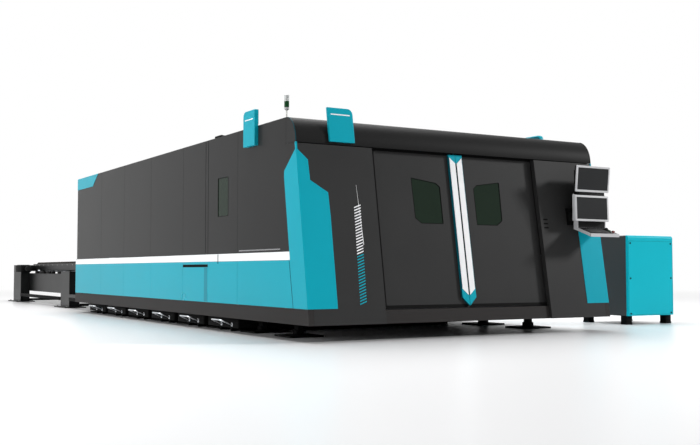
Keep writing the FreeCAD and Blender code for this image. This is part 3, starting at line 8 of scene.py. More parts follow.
import bmesh
import bpy
import numpy as np
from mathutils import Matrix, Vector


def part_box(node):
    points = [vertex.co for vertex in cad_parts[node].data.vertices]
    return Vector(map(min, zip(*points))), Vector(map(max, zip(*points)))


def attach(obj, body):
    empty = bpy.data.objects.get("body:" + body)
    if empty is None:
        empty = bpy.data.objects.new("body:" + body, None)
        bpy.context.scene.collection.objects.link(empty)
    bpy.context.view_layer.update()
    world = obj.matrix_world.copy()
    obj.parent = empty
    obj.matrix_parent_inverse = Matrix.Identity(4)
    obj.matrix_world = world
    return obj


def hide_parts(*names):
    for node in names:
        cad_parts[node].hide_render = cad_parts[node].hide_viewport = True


bl_info = {
    "name": "Sheet Laser Cutter",
    "version": (1, 0, 0),
    "blender": (4, 5, 0),
    "location": "View3D > Sidebar > Cutter",
    "description": "Builds the finished pieces of an enclosed sheet laser cutter",
    "category": "Object",
}

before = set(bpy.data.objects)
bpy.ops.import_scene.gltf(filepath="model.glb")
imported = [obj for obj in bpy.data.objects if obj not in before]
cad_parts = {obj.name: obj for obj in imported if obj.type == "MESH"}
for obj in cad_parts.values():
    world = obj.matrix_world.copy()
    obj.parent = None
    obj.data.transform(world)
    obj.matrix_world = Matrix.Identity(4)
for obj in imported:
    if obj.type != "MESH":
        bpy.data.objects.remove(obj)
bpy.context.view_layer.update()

# ------------------------------------------------------------------ places that pieces share
HALF_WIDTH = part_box("roof_panels")[1].x + 0.004
# The front's foot, at the skirt's lower edge, and how far it leans back for its height.
FRONT_Y = -4.635
SKIRT_LOW = 0.172
LEAN = 0.3 / 1.85
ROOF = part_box("front_canopy")[1].z
CANOPY_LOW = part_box("front_canopy")[0].z
CANOPY_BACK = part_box("front_canopy")[1].y
REAR_STEP = 3.962
DOOR_RECESS = 0.064
TRIM_PROUD = 0.026
DESK_ANGLE = np.arctan(98 / 285)
DESK_FOOT = (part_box("console_shelf")[0].y, 1.142)
# The columns of the two directions across an axis, and of the one along it.
AXIS = {"X": (1, 2, 0), "Y": (0, 2, 1), "Z": (0, 1, 2)}


def front_y(height, depth=0.0):
    """The leaning front: y = foot + lean * (height - skirt) + depth behind the face."""
    return FRONT_Y + LEAN * (height - SKIRT_LOW) + depth


# ------------------------------------------------------------------ flat outlines
def inset(points, amount):
    """Move each corner in by the mitre of its two edges: p + d (n1 + n2) / (1 + n1 . n2), where
    n1 and n2 are the inward normals of the edges that meet there."""
    p = np.asarray(points, float)
    painted_shade_edge = np.roll(p, -1, 0) - p
    area = np.sum(p[:, 0] * np.roll(p[:, 1], -1) - np.roll(p[:, 0], -1) * p[:, 1])
    normal = np.stack([-painted_shade_edge[:, 1], painted_shade_edge[:, 0]], 1) * np.sign(area)
    normal /= np.linalg.norm(normal, axis=1)[:, None]
    before = np.roll(normal, 1, 0)
    return p + amount * (before + normal) / (1 + np.sum(before * normal, 1))[:, None]


def rounded(points, radii, steps=6):
    """Replace each corner by an arc: the centre lies r / sin(a) along the bisector, where a is half
    the inside angle, and the arc turns between the two points where it meets the edges."""
    p = np.asarray(points, float)
    r = np.broadcast_to(np.asarray(radii, float), len(p))[:, None]
    back, ahead = np.roll(p, 1, 0) - p, np.roll(p, -1, 0) - p
    back /= np.linalg.norm(back, axis=1)[:, None]
    ahead /= np.linalg.norm(ahead, axis=1)[:, None]
    half = np.arccos(np.clip(np.sum(back * ahead, 1), -1, 1))[:, None] / 2
    middle = back + ahead
    middle /= np.maximum(np.linalg.norm(middle, axis=1), 1e-9)[:, None]
    centre = p + middle * r / np.sin(half)
    start, end = p + back * r / np.tan(half) - centre, p + ahead * r / np.tan(half) - centre
    turn = np.maximum(np.pi - 2 * half, 1e-6)
    t = np.linspace(0, 1, steps)[None, :, None]
    w = turn[:, None, :]
    arc = (np.sin((1 - t) * w) * start[:, None] + np.sin(t * w) * end[:, None]) / np.sin(w)
    return (centre[:, None] + arc).reshape(-1, 2)


def rectangle(low, high):
    """Its corners, from the low one round."""
    return [(low[0], low[1]), (high[0], low[1]), (high[0], high[1]), (low[0], high[1])]


def around(sides):
    """Even angles round a circle."""
    return np.arange(sides) * 2 * np.pi / sides


def circle(radius, sides, centre):
    """centre + r (cos t, sin t)."""
    t = around(sides)
    return np.stack([centre[0] + radius * np.cos(t), centre[1] + radius * np.sin(t)], 1)


# ------------------------------------------------------------------ surfaces on a grid
def skin(rows, ring=False):
    """A surface through closed sections: section i, point j is vertex i n + j. The ends are closed
    with one face each, or with ring the last section joins the first."""
    rows = np.asarray(rows, float)
    m, n = rows.shape[:2]
    i, j = np.meshgrid(np.arange(m if ring else m - 1), np.arange(n), indexing="ij")
    i2, j2 = (i + 1) % m, (j + 1) % n
    quads = np.stack([i * n + j, i * n + j2, i2 * n + j2, i2 * n + j], -1).reshape(-1, 4)
    faces = quads.tolist()
    if not ring:
        faces += [list(range(n))[::-1], list(range((m - 1) * n, m * n))]
    return rows.reshape(-1, 3), faces


def prism(outline, along, low, high):
    """An outline carried straight along an axis, P(i, s) = outline(i) + s, with flat ends."""
    o = np.asarray(outline, float)
    rows = np.empty((2, len(o), 3))
    a, b, c = AXIS[along]
    rows[:, :, a], rows[:, :, b] = o[:, 0], o[:, 1]
    rows[0, :, c], rows[1, :, c] = low, high
    return skin(rows)


def eased(outline, along, low, high, painted_shade_edge):
    """A prism whose end edges are cut at 45 degrees: the outline is drawn in by the edge there."""
    a, b, c = AXIS[along]
    rows = np.empty((4, len(outline), 3))
    for row, (draw, place) in enumerate(((painted_shade_edge, low), (0, low + painted_shade_edge), (0, high - painted_shade_edge),
                                         (painted_shade_edge, high))):
        rows[row][:, [a, b]] = inset(outline, draw)
        rows[row][:, c] = place
    return skin(rows)


def block(low, high, radius, steps=3):
    """A rounded box: sphere normals n(u, v), split into eight corners, give
    P = corner sign * (half size - r) + r n."""
    low, high = np.asarray(low, float), np.asarray(high, float)
    half, centre = (high - low) / 2, (high + low) / 2
    radius = min(radius, half.min() * 0.98)
    arc = np.linspace(0, np.pi / 2, steps)
    u = (np.arange(4)[:, None] * np.pi / 2 + arc[None]).ravel()
    v = np.concatenate([arc - np.pi / 2, arc])
    sign_x = np.repeat([1, -1, -1, 1], steps)[None]
    sign_y = np.repeat([1, 1, -1, -1], steps)[None]
    sign_z = np.repeat([-1, 1], steps)[:, None]
    normal = np.stack([np.cos(v)[:, None] * np.cos(u), np.cos(v)[:, None] * np.sin(u),
                       np.broadcast_to(np.sin(v)[:, None], (len(v), len(u)))], -1)
    corner = np.stack(np.broadcast_arrays(sign_x, sign_y, sign_z), -1) * (half - radius)
    return skin(centre + corner + radius * normal)


def turned(profile, centre, along="Z", sides=48, start=0.0):
    """A profile (r, s) turned about an axis: P(i, j) = centre + s + r (cos t, sin t)."""
    profile = np.asarray(profile, float)
    t = start + around(sides)
    a, b, c = AXIS[along]
    rows = np.empty((len(profile), sides, 3))
    rows[:, :, a] = centre[a] + profile[:, :1] * np.cos(t)
    rows[:, :, b] = centre[b] + profile[:, :1] * np.sin(t)
    rows[:, :, c] = centre[c] + profile[:, 1:]
    return skin(rows)


def bar(path, radius, across, sides=14):
    """A round bar along a flat path: P(i, j) = path(i) + r (cos t side(i) + sin t across), where
    across is the normal of the path's plane and side = tangent x across."""
    path, across = np.asarray(path, float), np.asarray(across, float)
    tangent = np.gradient(path, axis=0)
    tangent /= np.linalg.norm(tangent, axis=1)[:, None]
    aside = np.cross(tangent, across)
    t = around(sides)
    rows = (path[:, None] + radius * (np.cos(t)[None, :, None] * aside[:, None]
                                      + np.sin(t)[None, :, None] * across))
    return skin(rows)


def copies(part, shifts):
    """The same part at several shifts."""
    points, faces = part
    shifts = np.asarray(shifts, float)
    moved = (points[None] + shifts[:, None]).reshape(-1, 3)
    starts = range(0, len(moved), len(points))
    return moved, [[corner + start for corner in face] for start in starts for face in faces]


def repeated(part, along, distances):
    """The same part at several distances along X, Y or Z."""
    shifts = np.zeros((len(distances), 3))
    shifts[:, "XYZ".index(along)] = distances
    return copies(part, shifts)


def join(*parts):
    """Several parts as one list of points and faces."""
    points, faces, count = [], [], 0
    for more, shape in parts:
        points.append(more)
        faces += [[corner + count for corner in face] for face in shape]
        count += len(more)
    return np.vstack(points), faces


def mirrored(part):
    """The part and its image in the machine's middle plane."""
    points, faces = part
    return join(part, (points * (-1, 1, 1), faces))


def handed(outline, sign):
    """An outline of the right half of the front, or with sign -1 its image on the left half."""
    return [(sign * x, z) for x, z in outline]


def dish(points, radii, profile, place, steps, ring=False):
    """Nested outlines: row i is the outline drawn in by profile(i)'s first number and raised by its
    second, and place puts (across, up, raise) in space."""
    radii = np.broadcast_to(np.asarray(radii, float), len(points))
    rows = []
    for draw, rise in profile:
        loop = rounded(inset(points, draw), np.maximum(radii - draw, 1e-4), steps)
        rows.append(np.stack(place(loop[:, 0], loop[:, 1], np.full(len(loop), rise)), 1))
    return skin(rows, ring)


def film(points, place, radius=0.0005, rise=0.0008, steps=2):
    """A thin flat strip on a face, such as a stripe of paint, a seam or a band of painted shade."""
    return dish(points, radius, [(0.0, 0.0), (0.0, rise)], place, steps)


def louvres(left, right, foot, count, lift, place):
    """Pressed vents, one above the other. Each rises steeply to lift's first number at its rim and
    to its second a little further in."""
    tall, slope, pitch = 0.016, 0.004, 0.034
    blade = dish(rectangle((left, foot), (right, foot + tall)), slope,
                 [(0, 0), (0, lift[0]), (slope, lift[1])], place, 3)
    return repeated(blade, "Z", np.arange(count) * pitch)


def hex_bolt(radius, crown, centre, along="Z"):
    """A bolt's head with six sides, 7 mm high, whose rim slopes in to the crown's radius."""
    return turned([(0, 0), (radius, 0), (radius, 0.005), (crown, 0.007), (0, 0.007)], centre,
                  along, 6)


def plate_profile(thickness, painted_shade_edge):
    """Rows of a plate with a rounded front edge: a quarter circle of that radius."""
    t = np.linspace(0, np.pi / 2, 4)
    return [(0.0, 0.0)] + list(zip(painted_shade_edge * (1 - np.cos(t)), thickness - painted_shade_edge * (1 - np.sin(t))))


def on_front(depth=0.0):
    """Places an outline on the leaning front, raised towards the operator."""
    return lambda x, z, rise: (x, front_y(z, depth) - rise, z)


def on_side(sign, face=HALF_WIDTH):
    """Places an outline on a side wall, raised outwards."""
    return lambda y, z, rise: (sign * (face + rise), y, z)


def on_back(face):
    """Places an outline on a wall that looks back, raised away from the operator."""
    return lambda x, z, rise: (x, face + rise, z)


def on_floor(x, y, rise):
    """Places an outline level, raised upwards."""
    return x, y, rise


def on_desk(part):
    """Lays a part, drawn as (across, up the slope, above it), on the desk: a turn about X."""
    points, faces = part
    x, u, h = points.T
    c, s = np.cos(DESK_ANGLE), np.sin(DESK_ANGLE)
    return np.stack([x, DESK_FOOT[0] + u * c - h * s, DESK_FOOT[1] + u * s + h * c], 1), faces


# ------------------------------------------------------------------ pieces
def hold_flats(mesh):
    """Mark the rim of every face of more than four corners as sharp, so that it is shaded flat."""
    sides = np.empty(len(mesh.polygons), int)
    mesh.polygons.foreach_get("loop_total", sides)
    rim = np.empty(len(mesh.loops), int)
    mesh.loops.foreach_get("edge_index", rim)
    name = "sharp_edge"
    sharp = mesh.attributes.get(name) or mesh.attributes.new(name, "BOOLEAN", "EDGE")
    marks = np.empty(len(mesh.edges), bool)
    sharp.data.foreach_get("value", marks)
    marks[rim[np.repeat(sides > 4, sides)]] = True
    sharp.data.foreach_set("value", marks)


def piece(name, part, finish, body="base", replaces=(), bend=40.0):
    """Make one object of a part, with its faces outwards and its edges sharp past the bend."""
    points, faces = part
    mesh = bpy.data.meshes.new(name)
    mesh.from_pydata(points.tolist(), [], faces)
    work = bmesh.new()
    work.from_mesh(mesh)
    bmesh.ops.remove_doubles(work, verts=work.verts, dist=2e-6)
    bmesh.ops.dissolve_degenerate(work, edges=work.edges, dist=1e-6)
    bmesh.ops.recalc_face_normals(work, faces=work.faces)
    work.to_mesh(mesh)
    work.free()
    mesh.validate()
    mesh.shade_smooth()
    mesh.set_sharp_from_angle(angle=np.radians(bend))
    hold_flats(mesh)
    thing = bpy.data.objects.new(name, mesh)
    bpy.context.scene.collection.objects.link(thing)
    mesh.materials.append(bpy.data.materials[finish])
    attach(thing, body)
    if replaces:
        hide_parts(*replaces)


# ------------------------------------------------------------------ finishes
def linear(code):
    """sRGB hex to linear red, green, blue and alpha."""
    c = np.array([int(code[k:k + 2], 16) for k in (1, 3, 5)]) / 255
    return (*np.where(c <= 0.04045, c / 12.92, ((c + 0.055) / 1.055) ** 2.4), 1.0)


def add(tree, kind, values=None, links=None):
    """Add a node, set its properties and sockets by name or number, and link into it."""
    node = tree.nodes.new(kind)
    for key, value in (values or {}).items():
        if isinstance(key, int) or key in node.inputs:
            node.inputs[key].default_value = value
        else:
            setattr(node, key, value)
    for key, source in (links or {}).items():
        tree.links.new(source, node.inputs[key])
    return node


def blank(name):
    """An empty material: its tree, its output and the Object coordinates."""
    material = bpy.data.materials.new(name)
    material.use_nodes = True
    tree = material.node_tree
    tree.nodes.clear()
    output = add(tree, "ShaderNodeOutputMaterial")
    place = add(tree, "ShaderNodeTexCoord").outputs["Object"]
    return tree, output, place


def layered(name, shader, fine, lift, rough, coarse=None, shades=None, patchy=False, band=None,
            stretch=None):
    """A finish of two noises, each given by its scale and detail. The fine one lifts the surface,
    by lift's strength and distance. The coarse one mixes the two shades, within its band where one
    is given. The roughness runs between rough's two values with the fine noise, or with the
    coarse one where the finish is patchy."""
    tree, output, place = blank(name)
    drawn = place
    if stretch:
        drawn = add(tree, "ShaderNodeMapping", {"Scale": stretch}, {"Vector": place}).outputs[0]
    grain = add(tree, "ShaderNodeTexNoise", {"Scale": fine[0], "Detail": fine[1]},
                {"Vector": drawn}).outputs["Fac"]
    bump = add(tree, "ShaderNodeBump", {"Strength": lift[0], "Distance": lift[1]},
               {"Height": grain})
    links = {"Normal": bump.outputs[0]}
    if coarse:
        cloud = add(tree, "ShaderNodeTexNoise", {"Scale": coarse[0], "Detail": coarse[1]},
                    {"Vector": place}).outputs["Fac"]
        if patchy:
            grain = cloud
        if band:
            cloud = add(tree, "ShaderNodeMapRange", {"From Min": band[0], "From Max": band[1]},
                        {"Value": cloud}).outputs[0]
        tint = add(tree, "ShaderNodeMix", {"data_type": "RGBA", 6: linear(shades[0]),
                                           7: linear(shades[1])}, {0: cloud})
        links["Base Color"] = tint.outputs[2]
    gloss = add(tree, "ShaderNodeMapRange", {"To Min": rough[0], "To Max": rough[1]},
                {"Value": grain})
    links["Roughness"] = gloss.outputs[0]
    face = add(tree, "ShaderNodeBsdfPrincipled", shader, links)
    tree.links.new(face.outputs[0], output.inputs[0])


def powder_coat(name, paint, shade, roughness=(0.36, 0.46), level=0.09, grain=0.004,
                peel=0.10):
    """Powder-coated sheet: an even colour with a soft sheen and the small lumps of its orange peel.
    The real lumps are about 1 mm across; they are drawn coarser so that they still show."""
    layered(name, {"IOR": 1.5, "Specular IOR Level": level}, (1 / grain, 2.0), (peel, 0.0006),
            roughness, (1.4, 3.0), (paint, shade), patchy=True)


def gloss_enamel(name, paint):
    """Sprayed enamel film: an even colour under a clear gloss, with a faint long waviness."""
    layered(name, {"Base Color": linear(paint), "IOR": 1.5}, (30.0, 1.0), (0.03, 0.0008),
            (0.22, 0.28))


def worked_metal(name, bright, dark, roughness, stretch=(1, 1, 1), grain=0.003, scratch=0.08,
                 metallic=1.0):
    """Bare or plated metal: long marks from rolling, grinding or turning give it a brushed gloss.
    stretch pulls the marks along the way the tool went."""
    layered(name, {"Metallic": metallic}, (1 / grain, 4.0), (scratch, 0.0004),
            (roughness * 0.75, roughness * 1.3), (6.0, 3.0), (bright, dark), stretch=stretch)


def burnt_slat_steel(name):
    """Slats cut from plain hot-rolled plate: black mill scale, brown and crusted in patches where
    the beam has passed, which looks rough and warm."""
    layered(name, {"Metallic": 0.35}, (90.0, 5.0), (0.5, 0.0008), (0.5, 0.85), (4.0, 3.0),
            ("#1C1B1B", "#3A322B"), band=(0.35, 0.75))


def moulded_plastic(name, dye, roughness, depth=0.12, level=0.5):
    """Moulded ABS or rubber, and smoother ceramic or screen glass: a texture of about 0.5 mm from
    the mould, drawn a little coarser, breaks up the sheen."""
    grain = 0.0012
    layered(name, {"Base Color": linear(dye), "IOR": 1.46, "Specular IOR Level": level},
            (1 / grain, 2.0), (depth, 0.0003), (roughness - 0.04, roughness + 0.06))


def tinted_glazing(name, dye, through, roughness=0.06):
    """Dyed acrylic or glass: the dye darkens what is behind it and the face mirrors the room."""
    layered(name, {"Base Color": linear(dye), "IOR": 1.49, "Transmission Weight": through,
                   "Specular IOR Level": 0.05}, (5.0, 1.0), (0.02, 0.002),
            (roughness, roughness + 0.04))


def studio_floor(name):
    """Pale sealed floor: nearly white, with a faint soft reflection, and the plain white of the
    background where the camera sees it far away."""
    tree, output, place = blank(name)
    matt = add(tree, "ShaderNodeBsdfDiffuse", {"Color": linear("#FBFBFC")})
    shine = add(tree, "ShaderNodeBsdfGlossy", {"Color": linear("#FFFFFF"), "Roughness": 0.32})
    edge_on = add(tree, "ShaderNodeFresnel", {"IOR": 1.22})
    share = add(tree, "ShaderNodeMath", {"operation": "MULTIPLY", 1: 0.75},
                {0: edge_on.outputs[0]})
    blend = add(tree, "ShaderNodeMixShader", {}, {0: share.outputs[0], 1: matt.outputs[0],
                                                  2: shine.outputs[0]})
    # the fade to white, by the distance in metres from the machine's middle
    far = add(tree, "ShaderNodeVectorMath", {"operation": "LENGTH"}, {0: place})
    fade = add(tree, "ShaderNodeMapRange", {"From Min": 14.0, "From Max": 26.0},
               {"Value": far.outputs["Value"]})
    light = add(tree, "ShaderNodeLightPath")
    seen = add(tree, "ShaderNodeMath", {"operation": "MULTIPLY"},
               {0: fade.outputs[0], 1: light.outputs["Is Camera Ray"]})
    white = add(tree, "ShaderNodeEmission", {"Color": linear("#FFFFFF"), "Strength": 1.0})
    out = add(tree, "ShaderNodeMixShader", {}, {0: seen.outputs[0], 1: blend.outputs[0],
                                                2: white.outputs[0]})
    tree.links.new(out.outputs[0], output.inputs[0])


FINISH_OF_NODE = {
    "charcoal_powder_coat": ("upper_side_panels", "roof_panels", "rear_wall"),
    "front_charcoal_powder_coat": ("front_panels", "door_left", "door_right"),
    "graphite_powder_coat": ("plinth_skirt",),
    "teal_powder_coat": ("lower_side_panels", "corner_covers", "service_flap"),
    # the door trims take a darker teal: painted shade of the door recess
    "painted_shade_teal_enamel": ("door_left_trim", "door_right_trim"),
    "white_gloss_enamel": ("side_stripes", "door_left_bar", "door_right_bar"),
    "laser_safety_acrylic": ("side_windows", "door_left_window", "door_right_window"),
    "table_enamel": ("exchange_frame", "lift_frame", "pallet_inner", "pallet_outer"),
    "machine_grey_enamel": ("gantry_beam", "housing_frame"),
    "bed_grey_enamel": ("bed_frame", "gantry_saddles"),
    "ground_rail_steel": ("guide_rails", "beam_rails", "lift_columns"),
    "black_foot_enamel": ("levelling_feet", "console_bracket"),
    "anodised_aluminium": ("head_carriage", "z_slide"),
    "black_textured_abs": ("console_body",),
    "light_grey_powder_coat": ("console_shelf",),
}


# ------------------------------------------------------------------ settings
def length(name, default, description):
    """A setting in metres."""
    return bpy.props.FloatProperty(name=name, default=default, description=description,
                                   min=0.0, subtype="DISTANCE", unit="LENGTH")


def colour(name, code, description):
    """A setting that holds a colour."""
    return bpy.props.StringProperty(name=name, default=code, description=description)


class FinishSettings(bpy.types.PropertyGroup):
    """The paint colours, as sRGB hex."""
    side_dark: colour("Side panels", "#292929", "Charcoal powder coat of the side panels")
    front_dark: colour("Front panels", "#303030", "Charcoal powder coat of the front")
    skirt: colour("Skirt", "#2E2C2C", "Graphite powder coat of the base band")
    teal: colour("Teal", "#0CA1B4", "Powder coat of the coloured panels")
    frame_paint: colour("Frame", "#101111", "Dark enamel of the table and pallets")


class HousingSettings(bpy.types.PropertyGroup):
    """Sizes of the housing's finished pieces."""
    lip: length("Canopy lip", 0.030, "Depth of the fold along the hood's lower edge")
    sheet: length("Sheet", 0.004, "Thickness of the sheet metal")
    edge_trim: length("Edge trim", 0.010, "Width of the trim at the hood's ends")
    gasket: length("Gasket", 0.005, "Width of the rubber seal round a window")


class TableSettings(bpy.types.PropertyGroup):
    """Sizes of the pallets, slats and wheels."""
    blades_between: bpy.props.IntProperty(name="Blades", default=3, min=1,
                                          description="Slats for each slat of the solid")
    tooth_pitch: length("Tooth pitch", 0.072, "Distance between two teeth of a slat")
    tooth_depth: length("Tooth depth", 0.034, "Height of a tooth")
    blade: length("Blade", 0.004, "Thickness of a slat")


class ConsoleSettings(bpy.types.PropertyGroup):
    """Sizes of the console."""
    bezel: length("Bezel", 0.024, "Width of the frame round a screen")
    corner: length("Corner", 0.010, "Corner radius of a monitor")
    key: length("Key", 0.017, "Distance between two keys")


class CabinetSettings(bpy.types.PropertyGroup):
    """Sizes of the power cabinet."""
    round_top: length("Top radius", 0.036, "Radius of the panel's top edge")
    screw: length("Screw", 0.012, "Radius of the panel's screw heads")
    screw_inset: length("Screw inset", 0.045, "From the panel's edge to a screw")


GROUPS = {"cutter_finish": FinishSettings, "cutter_housing": HousingSettings,
          "cutter_table": TableSettings, "cutter_console": ConsoleSettings,
          "cutter_cabinet": CabinetSettings}


# ------------------------------------------------------------------ operators
class CUTTER_OT_finishes(bpy.types.Operator):
    """Make the finishes and give them to the solids that stay"""
    bl_idname = "cutter.finishes"
    bl_label = "Finishes"

    def execute(self, context):
        look = context.scene.cutter_finish
        powder_coat("charcoal_powder_coat", look.side_dark, "#2E2E2E", (0.27, 0.33), 0.06)
        powder_coat("front_charcoal_powder_coat", look.front_dark, "#343434", level=0.06)
        powder_coat("gloss_black_powder_coat", "#191919", "#1C1C1C", (0.42, 0.5), 0.05)
        powder_coat("graphite_powder_coat", look.skirt, "#333130", (0.45, 0.55), 0.05)
        powder_coat("teal_powder_coat", look.teal, "#0EA6BA", (0.26, 0.32), 0.08)
        # a lighter copy of the machine's teal: painted light on the cabinet's panel
        powder_coat("cabinet_teal_with_painted_light", "#10BACB", "#12BFD1", (0.28, 0.35), 0.06)
        # the machine's charcoal made lighter: painted light on the cabinet's case
        powder_coat("cabinet_grey_with_painted_light", "#474849", "#4C4D4E")
        # a darker teal for the painted shade of a fold on the service flap
        powder_coat("shade_band_teal_powder_coat", "#0A8798", "#0B8B9D", (0.26, 0.32), 0.08)
        powder_coat("dark_teal_enamel", "#0A3A43", "#0B414B", (0.4, 0.5), 0.05)
        # a darker teal that paints shade, on the door trims and inside the side signs
        powder_coat("painted_shade_teal_enamel", "#0D6675", "#0F6E7E", (0.3, 0.4))
        powder_coat("light_grey_powder_coat", "#C2C2C4", "#C8C8CA", level=0.2, grain=0.002)
        powder_coat("table_enamel", look.frame_paint, "#151616", (0.3, 0.38), 0.11, 0.006)
        powder_coat("machine_grey_enamel", "#6E6F70", "#767778", (0.42, 0.55), 0.3, 0.006, 0.2)
        powder_coat("bed_grey_enamel", "#4C4E50", "#56585A", (0.5, 0.62), 0.3, 0.008, 0.25)
        powder_coat("black_foot_enamel", "#0B0B0B", "#101010", (0.55, 0.65), 0.03, peel=0.2)
        gloss_enamel("white_gloss_enamel", "#FBFCFD")
        worked_metal("ground_rail_steel", "#B9BCC0", "#A5A8AC", 0.24, stretch=(1, 0.03, 1))
        worked_metal("turned_steel", "#9DA0A4", "#86898D", 0.3, grain=0.002)
        worked_metal("zinc_plated_steel", "#A9AAA6", "#8F908C", 0.34, grain=0.002)
        worked_metal("chromed_bar", "#D8DADD", "#C6C9CC", 0.15, grain=0.02, scratch=0.02)
        worked_metal("anodised_aluminium", "#B5B8BC", "#A9ACB0", 0.36, stretch=(1, 1, 0.04),
                     metallic=0.95)
        worked_metal("nozzle_copper", "#B8734A", "#9C5E3C", 0.22, grain=0.001)
        burnt_slat_steel("burnt_slat_steel")
        moulded_plastic("black_textured_abs", "#111111", 0.5, level=0.1)
        moulded_plastic("light_textured_abs", "#CDCDCF", 0.4, level=0.25)
        moulded_plastic("black_rubber", "#0C0C0C", 0.7, depth=0.25, level=0.06)
        moulded_plastic("key_abs", "#2A2A2C", 0.5)
        moulded_plastic("stop_red_abs", "#7A0E12", 0.22, depth=0.04)
        moulded_plastic("start_green_abs", "#155F2C", 0.22, depth=0.04)
        moulded_plastic("white_ceramic", "#E6E2D8", 0.18, depth=0.03)
        moulded_plastic("dark_screen_glass", "#2D2E2F", 0.5, depth=0.01, level=0.05)
        tinted_glazing("laser_safety_acrylic", "#1D2C21", 0.1)
        tinted_glazing("green_lens", "#0A4A22", 0.1, 0.2)
        tinted_glazing("clear_lens", "#DDE0DF", 0.2, 0.2)
        studio_floor("studio_floor")
        for finish, nodes in FINISH_OF_NODE.items():
            for node in nodes:
                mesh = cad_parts[node].data
                mesh.materials.clear()
                mesh.materials.append(bpy.data.materials[finish])
        return {"FINISHED"}


class CUTTER_OT_canopy(bpy.types.Operator):
    """The rounded hood over the doors, with the thin trim at its ends"""
    bl_idname = "cutter.canopy"
    bl_label = "Canopy"

    def execute(self, context):
        make = context.scene.cutter_housing
        sheet, proud = make.sheet, 0.002
        deep, tall = CANOPY_BACK - front_y(CANOPY_LOW), ROOF - CANOPY_LOW

        def curve(grow, lift=0.0):
            """A quarter of an ellipse: y = back - (deep + grow) cos t, z = low + tall sin t."""
            t = np.linspace(0, np.pi / 2, 28)
            return np.stack([CANOPY_BACK - (deep + grow) * np.cos(t),
                             CANOPY_LOW + lift + (tall + grow - lift) * np.sin(t)], 1)

        lip = CANOPY_BACK - deep + make.lip
        section = np.vstack([curve(0), curve(-sheet, sheet)[::-1],
                             [(lip, CANOPY_LOW + sheet), (lip, CANOPY_LOW)]])
        width = HALF_WIDTH - sheet
        piece("canopy", prism(section, "X", -width, width), "gloss_black_powder_coat",
              replaces=["front_canopy"])
        end = np.vstack([curve(0), [(CANOPY_BACK, CANOPY_LOW)]])
        piece("canopy_ends", mirrored(eased(end, "X", width, HALF_WIDTH, 0.001)),
              "charcoal_powder_coat")
        strip = np.vstack([curve(0)[:-3], curve(proud)[:-3][::-1]])
        for side, finish, slot, start in (
                ("left", "dark_teal_enamel", "teal_panel", -HALF_WIDTH - proud),
                ("right", "gloss_black_powder_coat", "front_dark",
                 HALF_WIDTH + proud - make.edge_trim)):
            piece(f"canopy_trim_{side}", prism(strip, "X", start, start + make.edge_trim),
                  finish)
        return {"FINISHED"}


class CUTTER_OT_signs(bpy.types.Operator):
    """The bare name plates, with dark inner faces of painted shade on the side ones, and the plain
    stripes in the place of the lettering
    """
    bl_idname = "cutter.signs"
    bl_label = "Signs and stripes"

    def execute(self, context):
        low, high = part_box("sign_plates")
        near, far, top = -3.443, -3.143, high.z + 0.028
        square, curved, thick = 0.004, 0.06, 0.045
        boards = [dish(rectangle((-1.634, low.z), (-1.334, 2.412)),
                       (square, square, curved, square), plate_profile(0.03, square),
                       on_front(), 10)]
        shade_backs = []
        for sign, radii in ((-1, (square, square, curved, square)),
                            (1, (square, square, square, curved))):
            for foot, profile in (
                    (2.085, plate_profile(thick, square)),
                    (ROOF + 0.015, [(0.012, -0.009), (0.0, -0.002), (0.0, 0.002)])):
                boards.append(dish(rectangle((near, foot), (far, top)), radii, profile,
                                   on_side(sign), 10))
            # a dark teal layer inside each side sign above the roof: painted shade of its inner
            # face
            shade_backs.append(dish(rectangle((near + 0.004, ROOF + 0.019), (far - 0.004, top - 0.004)),
                              radii, [(0.008, -0.0086), (0.009, -0.0098)], on_side(sign), 10))
        piece("sign_boards", join(*boards), "teal_powder_coat",
              replaces=["sign_plates"])
        piece("sign_painted_shade_backs", join(*shade_backs), "painted_shade_teal_enamel")

        teal_low, teal_high, white_low, white_high = 0.368, 0.850, 0.880, 1.390
        slant = [(-0.040, 0.0), (0.040, 0.030), (0.040, 0.042), (-0.040, 0.012)]

        def hatch(low_z, high_z):
            """Slanted bars up the front, which drift inwards by drift * height."""
            pitch, drift = 0.030, 0.0226
            foot = np.arange(low_z, high_z, pitch)
            middle = -1.376 + (foot - teal_low) * drift
            return [film(np.add(slant, spot), on_front()) for spot in zip(middle, foot)]

        front = film(rectangle((-1.60, 2.334), (-1.37, 2.346)), on_front(-0.03), 0.001, steps=6)
        side = film(rectangle((-3.40, 2.372), (-3.19, 2.384)), on_side(-1, HALF_WIDTH + thick),
                    0.001, steps=6)
        needle = film([(-1.318, 0.98), (-1.312, 0.985), (-1.346, 1.605), (-1.348, 1.605)],
                      on_front(), 0.0003)
        white = join(front, mirrored(side), *hatch(white_low, white_high), needle)
        piece("white_stripes", white, "white_gloss_enamel")
        piece("teal_stripes", join(*hatch(teal_low, teal_high)), "teal_powder_coat")
        dash = [(0.0, 0.0), (0.010, 0.0), (0.013, 0.013), (0.003, 0.013)]
        ticks = [film(np.add(dash, (y, 0.932)), on_side(-1))
                 for y in np.arange(-3.99, -2.95, 0.021)]
        piece("side_ticks", mirrored(join(*ticks)), "light_grey_powder_coat")
        joints = [film(rectangle(*ends), on_side(-1)) for ends in (
            ((-2.346, 0.798), (-2.324, 0.906)), ((-2.025, 0.912), (-2.015, 2.290)))]
        piece("stripe_joints", mirrored(join(*joints)), "black_rubber")
        return {"FINISHED"}


